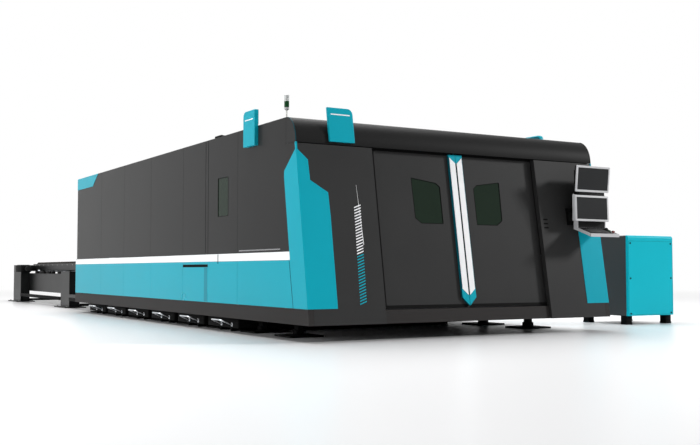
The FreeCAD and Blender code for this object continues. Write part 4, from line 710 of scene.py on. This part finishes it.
class CUTTER_OT_lamp(bpy.types.Operator):
    """The stack light: pole, socket, green lens and clear lens"""
    bl_idname = "cutter.lamp"
    bl_label = "Stack light"

    def execute(self, context):
        low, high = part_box("stack_light")
        centre = ((low.x + high.x) / 2, (low.y + high.y) / 2, low.z)
        r, tall = (high.x - low.x) / 2, high.z - low.z
        pole = turned([(0, 0), (0.026, 0), (0.026, 0.006), (0.018, 0.010), (0.008, 0.012),
                       (0.008, 0.141), (0, 0.141)], centre)
        piece("lamp_pole", pole, "zinc_plated_steel", replaces=["stack_light"])
        socket = turned([(0, 0.140), (0.012, 0.140), (0.020, 0.150), (r, 0.154), (r, 0.172),
                         (r - 0.002, 0.173), (0, 0.173)], centre)
        cap = turned([(0, tall - 0.007), (r, tall - 0.007), (r, tall - 0.003),
                      (r - 0.004, tall), (0, tall)], centre)
        piece("lamp_socket", join(socket, cap), "light_textured_abs")
        wave = 0.0006 * (np.arange(15) % 2)
        for name, start, end, slot in (("green_lens", 0.173, 0.240, "beacon"),
                                       ("clear_lens", 0.240, tall - 0.007, "console_light")):
            side = np.stack([r - 0.001 - wave, np.linspace(start, end, 15)], 1)
            lens = turned(np.vstack([[(0, start)], side, [(0, end)]]), centre)
            piece(f"lamp_{name}", lens, name, bend=60)
        return {"FINISHED"}


class CUTTER_OT_openings(bpy.types.Operator):
    """Seals, brush strips and trim of the doors, windows, flap and port, the walls' fittings, and
    strips of painted shade at the doors, the flap and its slot
    """
    bl_idname = "cutter.openings"
    bl_label = "Seals and fittings"

    def execute(self, context):
        width = context.scene.cutter_housing.gasket
        seal = [(0.0, -0.004), (0.0, 0.0012), (-0.25 * width, 0.002), (-0.75 * width, 0.002),
                (-width, 0.0012), (-width, -0.004)]
        pane = [(0.593, 1.284), (0.519, 1.230), (0.235, 1.230), (0.235, 1.635), (0.283, 1.675),
                (0.603, 1.720)]
        on_door, on_trim = on_front(DOOR_RECESS), on_front(DOOR_RECESS - TRIM_PROUD)
        for door, sign in (("door_left", -1), ("door_right", 1)):
            glass = handed(pane, sign)
            piece(f"{door}_seal", dish(glass, 0.004, seal, on_door, 4, ring=True),
                  "black_rubber", door)
            # a brush seal along the door's lower edge and a track cover along its upper edge, black
            # strips widened to paint the shade in the gaps there too
            brush_and_shade_strips = [dish(handed(rectangle((0.012, low), (1.112, high)), sign), 0.001,
                            [(0, 0), (0, 0.001), (0.001, 0.0015)], on_door, 2)
                       for low, high in ((0.322, 0.354), (1.996, 2.030))]
            piece(f"{door}_brushes", join(*brush_and_shade_strips), "black_rubber", door)
            bar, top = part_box(f"{door}_bar")[1].z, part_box(f"{door}_trim")[1].z
            near, far = 0.003, 0.092
            tips = [dish(handed(tip, sign), 0.001, [(0, 0), (0, 0.0008), (0.001, 0.0011)],
                         on_trim, 2) for tip in (
                [(near, 0.338), (far, 0.427), (far, 0.526), (near, 0.447)],
                [(near, bar - 0.075), (far, bar + 0.004), (far, top - 0.002),
                 (near, top - 0.002)])]
            piece(f"{door}_tips", join(*tips), "teal_powder_coat", door)
            # a black strip along the trim's inner edge: painted shade of the trim's side face
            painted_shade_edge = handed(rectangle((near, 0.452), (0.0108, bar - 0.066)), sign)
            piece(f"{door}_edge", film(painted_shade_edge, on_trim, 0.001, 0.0018), "black_rubber",
                  door)
        hole = rectangle((-2.625, 1.355), (-2.328, 1.805))
        rims = mirrored(dish(hole, 0.006, seal, on_side(-1), 4, ring=True))
        piece("side_window_seals", rims, "black_rubber")
        lip = [(0, 0), (0, 0.0012), (0.002, 0.0016), (0.003, 0.0004)]
        slots = [dish(rectangle((1.156, z - 0.008), (1.222, z + 0.008)), 0.006, lip, on_front(),
                      4) for z in (1.214, 1.262, 1.310)]
        piece("panel_slots", join(*slots), "black_rubber")
        seam = [(-4.299, 0.337), (-4.290, 0.337), (-4.195, 0.822), (-4.204, 0.822)]
        piece("corner_seams", mirrored(film(seam, on_side(-1), 0.001, 0.001)),
              "dark_teal_enamel")
        low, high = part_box("service_flap")
        # a darker teal band near the flap's near edge: painted shade of a fold
        shade_band = rectangle((low.y + 0.018, low.z + 0.006), (low.y + 0.115, high.z - 0.003))
        piece("flap_painted_shade", film(shade_band, on_side(-1), 0.002), "shade_band_teal_powder_coat",
              "service_flap")
        # a black strip behind the slot above the flap: painted shade inside the slot
        slot = rectangle((low.y - 0.002, high.z + 0.0015), (high.y + 0.002, high.z + 0.0325))
        piece("slot_painted_shade", film(slot, on_side(-1, HALF_WIDTH - 0.004)), "black_rubber")
        painted_shade_edge = [(0.0, -0.003), (0.0, 0.003), (-0.016, 0.003), (-0.016, -0.003)]
        port = dish(rectangle((-1.462, 0.350), (1.462, 0.910)), 0.004, painted_shade_edge,
                    on_back(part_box("rear_wall")[1].y), 3, ring=True)
        piece("port_edging", port, "black_rubber")
        vents = [louvres(x - 0.22, x + 0.22, 1.50, 9, (0.004, 0.009), on_back(REAR_STEP))
                 for x in (-1.35, -0.45, 0.45, 1.35)]
        piece("rear_louvres", join(*vents), "charcoal_powder_coat")
        lug = block((-2.014, -2.365, ROOF - 0.001), (-1.945, -2.195, ROOF + 0.026), 0.008, 4)
        bolt = hex_bolt(0.013, 0.010, (-1.98, -2.335, ROOF + 0.025))
        piece("lifting_lugs", mirrored(join(lug, repeated(bolt, "Y", (0, 0.11)))),
              "black_foot_enamel")
        return {"FINISHED"}


class CUTTER_OT_gantry(bpy.types.Operator):
    """Rack teeth, rail screws, drive motors and the cutting head"""
    bl_idname = "cutter.gantry"
    bl_label = "Gantry and head"

    def execute(self, context):
        low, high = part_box("guide_rails")
        pitch, face = 0.012, -1.535
        count = int((high.y - low.y) / pitch)
        k = np.arange(count)[:, None] * pitch + low.y
        # each tooth: its foot, the two corners of its tip, its other foot
        teeth = np.stack([(k + np.array([0.0, 0.0025, 0.0055, 0.008])).ravel(),
                          face + np.tile([0.0, 0.0045, 0.0045, 0.0], count)], 1)
        line = np.vstack([teeth, [(teeth[-1, 0], face - 0.001), (teeth[0, 0], face - 0.001)]])
        rack = prism(line[:, ::-1], "Z", 0.882, 0.908)
        piece("rack_teeth", mirrored(rack), "turned_steel")
        screw = turned([(0, 0), (0.007, 0), (0.007, 0.0005), (0.0045, 0.0005), (0.0045, 0.0001),
                        (0, 0.0001)], (-1.6925, low.y + 0.06, high.z), sides=12)
        spacing = 0.12
        screws = repeated(screw, "Y", np.arange(int((high.y - low.y) / spacing)) * spacing)
        piece("rail_screws", mirrored(screws), "zinc_plated_steel")

        low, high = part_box("gantry_motors")
        x0, x1 = low.x, low.x + 0.13
        y0, y1, z0, z1 = low.y, high.y, low.z, high.z

        def case(draw, foot, top, radius):
            """A box of the motor, drawn in from its sides, between two heights."""
            return block((x0 + draw, y0 + draw, foot), (x1 - draw, y1 - draw, top), radius)

        fin = block((x0 + 0.006, y0 + 0.02, z0 + 0.11), (x1 - 0.006, y1 - 0.02, z0 + 0.114),
                    0.001, 2)
        motor = join(case(0, z0, z0 + 0.012, 0.002), case(0.008, z0 + 0.010, z0 + 0.085, 0.006),
                     case(0.002, z0 + 0.083, z0 + 0.097, 0.003),
                     case(0.014, z0 + 0.096, z1 - 0.028, 0.008),
                     case(0.008, z1 - 0.030, z1, 0.010),
                     repeated(fin, "Z", np.arange(11) * 0.011))
        piece("drive_motors", mirrored(motor), "black_textured_abs", "gantry",
              ["gantry_motors"])

        low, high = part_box("cutting_head")
        x, y, z = centre = (0.0, low.y + 0.06, low.z)
        cone = turned([(0, 0), (0.0135, 0), (0.0135, 0.004), (0.022, 0.012), (0.034, 0.030),
                       (0.050, 0.070), (0.052, 0.078), (0.052, 0.090), (0, 0.090)], centre)
        ring = turned([(0, 0.088), (0.056, 0.088), (0.058, 0.091), (0.058, 0.099),
                       (0.056, 0.102), (0, 0.102)], centre)
        housing = block((-0.06, low.y, z + 0.100), (0.06, high.y, z + 0.29), 0.008, 4)
        tube = rectangle((-0.038, y - 0.038), (0.038, y + 0.038))
        collimator = eased(rounded(tube, 0.010, 5), "Z", z + 0.289, z + 0.40, 0.003)
        plug = turned([(0, 0.398), (0.030, 0.398), (0.030, 0.404), (0.024, 0.406),
                       (0.024, 0.417), (0.021, 0.420), (0, 0.420)], centre)
        piece("head_housing", join(cone, ring, housing, collimator, plug), "anodised_aluminium",
              "head", ["cutting_head"])
        drawer = block((-0.046, low.y, z + 0.118), (0.046, low.y + 0.02, z + 0.158), 0.004)
        knob = turned([(0, 0), (0.004, 0), (0.004, 0.002), (0, 0.002)],
                      (0.035, low.y - 0.001, z + 0.138), "Y", 16)
        knobs = copies(knob, [(0, 0, 0), (-0.07, 0, 0), (0, 0, 0.13), (-0.07, 0, 0.13)])
        piece("head_drawer", join(drawer, knobs), "black_textured_abs", "head")
        centre = (x, y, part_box("nozzle")[0].z)
        bore = 0.0015
        tip = turned([(bore, 0), (0.004, 0), (0.005, 0.002), (0.006, 0.012), (0.012, 0.013),
                      (0.0125, 0.015)], centre, sides=40)
        collar = turned([(bore, 0.012), (0.0125, 0.012), (0.014, 0.014), (0.014, 0.026),
                         (0.0125, 0.028), (bore, 0.028)], centre, sides=6)
        piece("nozzle_tip", join(tip, collar), "nozzle_copper", "head", ["nozzle"])
        sleeve = turned([(bore, 0.028), (0.0125, 0.028), (0.0135, 0.030), (0.0135, 0.040),
                         (bore, 0.040)], centre, sides=40)
        piece("nozzle_ceramic", sleeve, "white_ceramic", "head")
        return {"FINISHED"}


class CUTTER_OT_pallets(bpy.types.Operator):
    """Sawtooth slats, their combs and the wheels of both pallets"""
    bl_idname = "cutter.pallets"
    bl_label = "Pallets"

    def execute(self, context):
        make = context.scene.cutter_table
        for level in ("inner", "outer"):
            pallet, slats = f"pallet_{level}", f"slats_{level}"
            low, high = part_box(slats)
            frame_low, frame_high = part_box(pallet)
            half, span = high.x, frame_high.y - frame_low.y
            teeth = int(2 * half / make.tooth_pitch)
            k = np.arange(teeth)[:, None]
            # each tooth: a foot, the rising flank to a flat tip, and the falling flank
            across = half - (k + np.array([0.0, 0.38, 0.62, 1.0])) * 2 * half / teeth
            tops = np.tile([high.z - make.tooth_depth, high.z, high.z - 0.002,
                            high.z - make.tooth_depth], teeth)
            outline = np.vstack([[(-half, low.z), (half, low.z)],
                                 np.stack([across.ravel(), tops], 1)])
            count = int(make.blades_between) * 21 - 1
            blade = prism(outline, "Y", -make.blade / 2, make.blade / 2)
            spots = frame_low.y + span / (count + 1) * (np.arange(count) + 1)
            piece(f"slat_blades_{level}", repeated(blade, "Y", spots), "burnt_slat_steel",
                  pallet, [slats], bend=20)
            # the combs: strips with a notch for every slat
            notch = np.array([-0.006, -0.003, -0.003, 0.003, 0.003, 0.006])
            y = (spots[:, None] + notch).ravel()
            z = np.tile([0.040, 0.040, 0.012, 0.012, 0.040, 0.040], count) + frame_high.z - 0.040
            comb = np.vstack([np.stack([y, z - 0.002], 1),
                              [(spots[-1] + 0.02, frame_high.z - 0.04),
                               (spots[0] - 0.02, frame_high.z - 0.04)]])
            piece(f"slat_combs_{level}", mirrored(prism(comb, "X", half - 0.009, half - 0.003)),
                  "turned_steel", pallet, bend=20)
            bolt = hex_bolt(0.011, 0.009, (frame_high.x, frame_low.y + 0.2, frame_high.z - 0.03),
                            "X")
            bolts = repeated(bolt, "Y", np.arange(15) * (span - 0.4) / 14)
            piece(f"comb_bolts_{level}", mirrored(bolts), "zinc_plated_steel", pallet)
            for end in ("front", "rear"):
                axle = f"wheels_{level}_{end}"
                low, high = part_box(axle)
                r, reach = (high.z - low.z) / 2, high.x
                centre = (0.0, (low.y + high.y) / 2, (low.z + high.z) / 2)
                # half of the section: from the hub's end over the rim to the axle's middle
                outer = np.array([
                    (0, 0), (0.013, 0), (0.015, -0.002), (0.015, -0.007), (0.028, -0.007),
                    (0.030, 0), (r - 0.002, 0), (r, -0.002), (r, -0.040), (r - 0.002, -0.042),
                    (0.022, -0.042), (0.020, -0.050), (0.015, -0.052), (0.015, -reach)])
                outer[:, 1] += reach
                whole = np.vstack([outer, (outer[:-1] * (1, -1))[::-1]])
                piece(f"wheel_pair_{level}_{end}", turned(whole, centre, "X", 56),
                      "turned_steel", axle, [axle])
        return {"FINISHED"}


class CUTTER_OT_table(bpy.types.Operator):
    """Bolts, drive covers, drive motors, side guides and black strips of painted shade low on the
    sides of the pallet table
    """
    bl_idname = "cutter.table"
    bl_label = "Pallet table"

    def execute(self, context):
        nut = turned([(0, 0), (0.024, 0), (0.024, 0.003), (0.015, 0.003), (0.015, 0.013),
                      (0.012, 0.015), (0, 0.015)], (0, 0, 0.02), sides=6)
        spots = [(x, y, 0) for near, far in ((5.751, 6.500), (10.060, 10.927))
                 for x in (1.425, 1.725) for y in (near, far)]
        piece("anchor_bolts", mirrored(copies(nut, spots)), "zinc_plated_steel")
        cover = block((1.46, 10.045, 0.680), (1.683, 10.64, 0.836), 0.012, 4)
        rib = block((1.55, 10.12, 0.835), (1.556, 10.62, 0.848), 0.002, 2)
        ribs = repeated(rib, "X", (-0.06, -0.02, 0.02, 0.06, 0.10))
        piece("drive_covers", mirrored(join(cover, ribs)), "black_foot_enamel")
        motor = turned([(0, 0), (0.050, 0), (0.052, 0.004), (0.052, 0.10), (0.045, 0.11),
                        (0.045, 0.24), (0.038, 0.252), (0, 0.252)], (1.565, 9.852, 0.757), "Y",
                       40)
        foot = block((1.475, 10.05, 0.690), (1.655, 10.112, 0.826), 0.004)
        ring = turned([(0.047, 0), (0.049, 0.001), (0.049, 0.003), (0.047, 0.004)],
                      (1.565, 9.966, 0.757), "Y", 40)
        rings = repeated(ring, "Y", np.arange(-11, -1) * 0.009)
        piece("drive_motors_table", mirrored(join(motor, foot, rings)), "black_textured_abs")
        guides = [block((-1.545, near, 0.650), (-1.478, far, 0.706), 0.005)
                  for near, far in ((6.46, 6.62), (7.08, 7.27), (7.70, 7.80), (7.95, 8.27),
                                    (8.45, 8.88), (9.07, 9.27))]
        piece("side_guides", join(*guides), "black_foot_enamel")
        # black strips along the lower ties: painted shade of the recess between the posts
        shade_strips = [block((1.674, near, 0.132), (1.684, far, 0.197), 0.004)
                 for near, far in ((6.456, 10.104), (4.300, 5.796))]
        piece("table_painted_shade_strips", mirrored(join(*shade_strips)), "black_rubber")
        return {"FINISHED"}


class CUTTER_OT_trays(bpy.types.Operator):
    """The slag trays: a folded pan on skids, and a bent chromed handle"""
    bl_idname = "cutter.trays"
    bl_label = "Slag trays"

    def execute(self, context):
        wall = [(0.002, 0.045), (0, 0.047), (0, 0.153), (0.001, 0.155), (0.014, 0.155),
                (0.014, 0.152), (0.004, 0.152), (0.004, 0.051), (0.006, 0.049)]
        for k in range(1, 7):
            tray = f"slag_tray_{k}"
            low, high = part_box(tray)
            left, grip = low.x + 0.151, low.x + 0.011
            middle = (low.y + high.y) / 2
            pan = dish(rectangle((left, low.y), (high.x, high.y)), 0.022, wall, on_floor, 5)
            skid = eased(rounded(rectangle((middle - 0.18, 0.0), (middle - 0.14, 0.046)), 0.006,
                                 3), "X", left + 0.04, high.x - 0.04, 0.004)
            piece(f"tray_pan_{k}", join(pan, repeated(skid, "Y", (0, 0.32))),
                  "black_foot_enamel", tray, [tray])
            near, far = middle - 0.284, middle + 0.024
            reach, rise = left - grip, 0.058
            slope = np.hypot(reach, rise)
            bow = rounded([(0, near), (slope, near), (slope, far), (0, far)],
                          (0, 0.045, 0.045, 0), 10)[9:-9]
            path = np.stack([left - bow[:, 0] * reach / slope, bow[:, 1],
                             0.082 + bow[:, 0] * rise / slope], 1)
            feet = [block((left - 0.006, y - 0.024, 0.060), (left + 0.002, y + 0.024, 0.106),
                          0.003) for y in (near, far)]
            normal = (rise / slope, 0, reach / slope)
            piece(f"tray_handle_{k}", join(bar(path, 0.010, normal), *feet), "chromed_bar",
                  tray)
        return {"FINISHED"}


class CUTTER_OT_feet(bpy.types.Operator):
    """Lock nuts and washers on the jacking screws of the levelling feet"""
    bl_idname = "cutter.feet"
    bl_label = "Levelling feet"

    def execute(self, context):
        spots = [(1.613, y, 0) for y in (-3.63, -2.73, -1.67, -0.61, 0.45, 1.51, 2.57, 3.63)]
        floor = (0, 0, 0)
        washer = turned([(0, 0.020), (0.080, 0.020), (0.080, 0.026), (0.076, 0.030), (0, 0.030)],
                        floor, sides=32)
        nut = turned([(0, 0.030), (0.064, 0.030), (0.069, 0.034), (0.069, 0.068), (0.064, 0.072),
                      (0, 0.072)], floor, sides=6, start=0.26)
        top = turned([(0, 0.150), (0.070, 0.150), (0.074, 0.154), (0.074, 0.188), (0, 0.188)],
                     floor, sides=6)
        nuts = join(*[copies(part, spots) for part in (washer, nut, top)])
        piece("foot_lock_nuts", mirrored(nuts), "black_foot_enamel")
        return {"FINISHED"}


class CUTTER_OT_console(bpy.types.Operator):
    """Monitors, screens, desk mat, keyboard, track ball and the two push buttons"""
    bl_idname = "cutter.console"
    bl_label = "Console"

    def execute(self, context):
        make = context.scene.cutter_console
        bezel, tall = make.bezel, 0.305
        frames, shells, screens = [], [], []
        monitors = ((1.639, 0.030), (1.295, -0.008))
        for base, lean in monitors:
            def place(x, z, depth):
                return x, FRONT_Y - lean * (z - base) / tall + depth, z

            for parts, profile in (
                    (frames, [(0.002, 0.014), (0.0, 0.012), (0.0, 0.004), (0.001, 0.001),
                              (0.003, 0.0), (bezel - 0.001, 0.0), (bezel, 0.001),
                              (bezel, 0.0036)]),
                    (shells, [(0.016, 0.045), (0.006, 0.042), (0.003, 0.036),
                              (0.003, 0.0135)]),
                    (screens, [(bezel, 0.0042), (bezel + 0.0002, 0.0016),
                               (bezel + 0.001, 0.0012)])):
                parts.append(dish(rectangle((1.490, base), (2.020, base + tall)), make.corner,
                                  profile, place, 5))
        piece("monitor_frames", join(*frames), "light_textured_abs", "console",
              ["monitors"])
        piece("monitor_shells", join(*shells), "black_textured_abs", "console")
        cheek = eased(rounded([(-4.628, 1.297), (-4.590, 1.297), (-4.590, 1.600),
                               (-4.600, 1.612), (-4.628, 1.600)], 0.003, 3), "X", 1.480, 1.491,
                      0.0015)
        piece("monitor_cheek", cheek, "light_grey_powder_coat", "console")
        piece("screen_glass", join(*screens), "dark_screen_glass", "console",
              ["screens"])
        mounts = [block((1.642, -4.620, base + 0.045), (1.942, -4.572, base + 0.26), 0.006)
                  for base, lean in monitors]
        bridge = block((1.560, -4.618, 1.590), (1.950, -4.572, 1.650), 0.004)
        piece("monitor_mounts", join(*mounts, bridge), "black_textured_abs",
              "console")
        mat = block((1.578, 0.018, -0.0006), (1.995, 0.232, 0.0004), 0.0004, 2)
        piece("desk_mat", on_desk(mat), "black_rubber", "console")

        low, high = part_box("keyboard")
        cosine = np.cos(DESK_ANGLE)
        start, deep = (low.y - DESK_FOOT[0]) / cosine, (high.y - low.y) / cosine
        tray = block((low.x, start, 0.0), (high.x, start + deep, 0.010), 0.004)
        pitch = make.key
        cap = block((0, 0, 0.009), (pitch - 0.002, pitch - 0.002, 0.015), 0.0022, 2)
        # the first row has its space bar in the place of six keys
        spots = [(low.x + 0.010 + column * (pitch + 0.0012),
                  start + 0.008 + line * (pitch + 0.001), 0)
                 for line in range(6) for column in range(15) if line or not 2 < column < 9]
        space = block((low.x + 0.066, start + 0.008, 0.009),
                      (low.x + 0.168, start + 0.023, 0.015), 0.0022, 2)
        piece("keyboard_keys", on_desk(join(tray, copies(cap, spots), space)), "key_abs",
              "console", ["keyboard"])
        ball = block((1.915, 0.125, 0.0), (1.985, 0.185, 0.012), 0.01, 4)
        dome = turned([(0.022, 0.010), (0.021, 0.018), (0.015, 0.026), (0.007, 0.030),
                       (0, 0.0305)], (1.950, 0.155, 0.0), sides=32)
        piece("track_ball", on_desk(join(ball, dome)), "black_textured_abs",
              "console")

        x, stop_u, start_u = 1.960, *((y - DESK_FOOT[0]) / cosine for y in (-4.755, -4.695))
        r, stop_foot, top = 0.019, 0.0056, 0.027
        dome = turned([(0, stop_foot), (r * 0.7, stop_foot), (r * 0.72, stop_foot + 0.005),
                       (r, stop_foot + 0.007), (r, top - 0.007), (r * 0.85, top - 0.002),
                       (r * 0.5, top - 0.0002), (0, top)], (x, stop_u, 0), sides=40)
        round_rim = dish(circle(r + 0.005, 32, (x, stop_u)), 0.0001,
                         [(0, 0), (0, 0.002), (0.001, 0.003), (0.008, 0.003), (0.009, 0.0005)],
                         on_floor, 1)
        w, start_foot = 0.012, 0.0036
        square = block((x - w, start_u - w, start_foot), (x + w, start_u + w, 0.015), 0.003)
        w += 0.005
        square_rim = dish(rectangle((x - w, start_u - w), (x + w, start_u + w)), 0.003,
                          [(0, 0), (0, 0.0015), (0.001, 0.002), (0.004, 0.002),
                           (0.0046, 0.0005)], on_floor, 4)
        for name, cap, rim, u, foot, finish, slot in (
                ("stop", dome, round_rim, stop_u, stop_foot, "stop_red_abs", "stop_red"),
                ("start", square, square_rim, start_u, start_foot, "start_green_abs",
                 "start_green")):
            stem = block((x - 0.006, u - 0.006, -0.028), (x + 0.006, u + 0.006, foot + 0.001),
                         0.001, 2)
            piece(f"{name}_push_cap", on_desk(join(cap, stem)), finish, f"{name}_button",
                  [f"{name}_button"])
            piece(f"{name}_collar", on_desk(rim), "zinc_plated_steel", "console")
        return {"FINISHED"}


class CUTTER_OT_cabinet(bpy.types.Operator):
    """The power cabinet: case, teal panel with screws, vents and legs"""
    bl_idname = "cutter.cabinet"
    bl_label = "Power cabinet"

    def execute(self, context):
        make = context.scene.cutter_cabinet
        low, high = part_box("cabinet_body")
        front_low, front_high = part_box("cabinet_front")
        base, skin_y = front_low.z, front_high.y
        outline = rectangle((low.x + 0.002, base), (high.x - 0.002, high.z - 0.001))
        case = eased(rounded(outline, (0.004, 0.004, 0.02, 0.02)), "Y", skin_y + 0.002, high.y,
                     0.003)
        # its lighter grey paints the light on the case
        piece("cabinet_case", case, "cabinet_grey_with_painted_light",
              replaces=["cabinet_body"])
        side = rounded(rectangle((front_low.y, base), (skin_y, high.z)),
                       (0.004, 0.001, 0.001, make.round_top), 10)
        # its lighter teal paints the light on the panel
        piece("cabinet_panel", eased(side, "X", low.x, high.x, 0.003),
              "cabinet_teal_with_painted_light", replaces=["cabinet_front"])
        seam = dish(rectangle((low.x + 0.012, base + 0.012), (high.x - 0.012, high.z - 0.075)),
                    0.006, [(0, -0.001), (0, 0.0006), (0.002, 0.0006), (0.002, -0.001)],
                    lambda x, z, rise: (x, front_low.y - rise, z), 4, ring=True)
        piece("cabinet_seam", seam, "black_rubber")
        r, painted_shade_edge = make.screw, make.screw_inset
        bottom, top = base + painted_shade_edge * 0.7, high.z - 0.105
        head = turned([(0, 0), (r, 0), (r, -0.003), (r * 0.75, -0.005), (r * 0.4, -0.0052),
                       (r * 0.36, -0.003), (0, -0.003)], (0, 0, 0), "Y", 20)
        screws = copies(head, [(x, front_low.y, z) for x in (low.x + painted_shade_edge, high.x - painted_shade_edge)
                               for z in (bottom, (bottom + top) / 2, top)])
        piece("cabinet_screws", screws, "black_foot_enamel")
        pad, post = 0.11, 0.004
        leg = join(block((post, post, 0.022), (pad - post, pad - post, base + 0.004), 0.004),
                   block((0, 0, 0), (pad, pad, 0.026), 0.006))
        legs = copies(leg, [(x, y, 0) for x in (low.x, high.x - pad)
                            for y in (skin_y, high.y - pad)])
        piece("cabinet_legs", legs, "black_rubber")
        vents = [louvres(left, right, 0.55, 12, (0.003, 0.007), place) for left, right, place in (
            (skin_y + 0.24, high.y - 0.24, on_side(1, high.x - 0.002)),
            (low.x + 0.2, high.x - 0.2, on_back(high.y)))]
        piece("cabinet_louvres", join(*vents), "front_charcoal_powder_coat")
        return {"FINISHED"}


class CUTTER_OT_stage(bpy.types.Operator):
    """The floor, the lamps, the white surroundings and the camera"""
    bl_idname = "cutter.stage"
    bl_label = "Stage"

    def execute(self, context):
        scene = context.scene
        mesh = bpy.data.meshes.new("floor")
        reach = 60.0
        corners = rectangle((-reach, -reach), (reach, reach))
        mesh.from_pydata([(x, y, 0) for x, y in corners], [], [(0, 1, 2, 3)])
        mesh.materials.append(bpy.data.materials["studio_floor"])
        floor = bpy.data.objects.new("floor", mesh)
        scene.collection.objects.link(floor)

        world = bpy.data.worlds.new("white_studio")
        scene.world = world
        world.use_nodes = True
        tree = world.node_tree
        tree.nodes.clear()
        light = add(tree, "ShaderNodeLightPath")
        seen = add(tree, "ShaderNodeMath", {"operation": "MAXIMUM"},
                   {0: light.outputs["Is Camera Ray"], 1: light.outputs["Is Glossy Ray"]})
        seen = add(tree, "ShaderNodeMath", {"operation": "MAXIMUM"},
                   {0: seen.outputs[0], 1: light.outputs["Is Transmission Ray"]})
        soft = add(tree, "ShaderNodeBackground", {"Color": linear("#F7F7F7"), "Strength": 0.16})
        white = add(tree, "ShaderNodeBackground", {"Color": linear("#FFFFFF"), "Strength": 1.0})
        mix = add(tree, "ShaderNodeMixShader", {}, {0: seen.outputs[0], 1: soft.outputs[0],
                                                    2: white.outputs[0]})
        add(tree, "ShaderNodeOutputWorld", {}, {0: mix.outputs[0]})

        # wide: the sun's angle, or the side of a square lamp in metres
        for name, kind, place, aim, wide, power in (
                ("key_sun", "SUN", (13.1, -11.0, 7.5), (0.0, -4.5, 1.3), np.radians(9.0), 2.3),
                ("side_box", "AREA", (-20.0, -1.0, 4.5), (-2.0, 0.0, 1.0), 9.0, 1560.0),
                ("top_box", "AREA", (0.0, 1.5, 11.0), (0.0, 1.5, 0.0), 12.0, 2100.0)):
            lamp = bpy.data.lights.new(name, kind)
            lamp.energy = power
            if kind == "SUN":
                lamp.angle = wide
            else:
                lamp.shape, lamp.size = "SQUARE", wide
            thing = bpy.data.objects.new(name, lamp)
            thing.location = place
            way = np.array(aim) - np.array(place)
            thing.rotation_euler = (np.arctan2(np.hypot(way[0], way[1]), -way[2]), 0.0,
                                    np.arctan2(-way[0], way[1]))
            scene.collection.objects.link(thing)

        lens = bpy.data.cameras.new("camera")
        lens.lens, lens.sensor_width = 50.384, 36.0
        lens.clip_start, lens.clip_end = 0.1, 200.0
        camera = bpy.data.objects.new("camera", lens)
        camera.location = (-6.53024, -13.13391, 0.71792)
        camera.rotation_euler = (np.radians(92.8), 0.0, np.radians(-30.34))
        scene.collection.objects.link(camera)
        scene.camera = camera
        scene.view_settings.view_transform = "Standard"
        return {"FINISHED"}


OPERATORS = (CUTTER_OT_finishes, CUTTER_OT_canopy, CUTTER_OT_signs, CUTTER_OT_lamp,
             CUTTER_OT_openings, CUTTER_OT_gantry, CUTTER_OT_pallets, CUTTER_OT_table,
             CUTTER_OT_trays, CUTTER_OT_feet, CUTTER_OT_console, CUTTER_OT_cabinet,
             CUTTER_OT_stage)


class CUTTER_PT_panel(bpy.types.Panel):
    """Lists the pieces and their sizes in the sidebar"""
    bl_idname = "CUTTER_PT_panel"
    bl_label = "Sheet laser cutter"
    bl_space_type = "VIEW_3D"
    bl_region_type = "UI"
    bl_category = "Cutter"

    def draw(self, context):
        for name, group in GROUPS.items():
            box = self.layout.box()
            for prop in group.__annotations__:
                box.prop(getattr(context.scene, name), prop)
        for operator in OPERATORS:
            self.layout.operator(operator.bl_idname)


def register():
    """Add the settings, the operators and the panel."""
    for group in GROUPS.values():
        bpy.utils.register_class(group)
    for name, group in GROUPS.items():
        setattr(bpy.types.Scene, name, bpy.props.PointerProperty(type=group))
    for operator in OPERATORS:
        bpy.utils.register_class(operator)
    bpy.utils.register_class(CUTTER_PT_panel)


def unregister():
    """Take them away again."""
    bpy.utils.unregister_class(CUTTER_PT_panel)
    for operator in reversed(OPERATORS):
        bpy.utils.unregister_class(operator)
    for name, group in reversed(GROUPS.items()):
        delattr(bpy.types.Scene, name)
        bpy.utils.unregister_class(group)


def main():
    """Build every piece in order."""
    register()
    for operator in OPERATORS:
        family, call = operator.bl_idname.split(".")
        getattr(getattr(bpy.ops, family), call)()


if __name__ == "__main__":
    main()
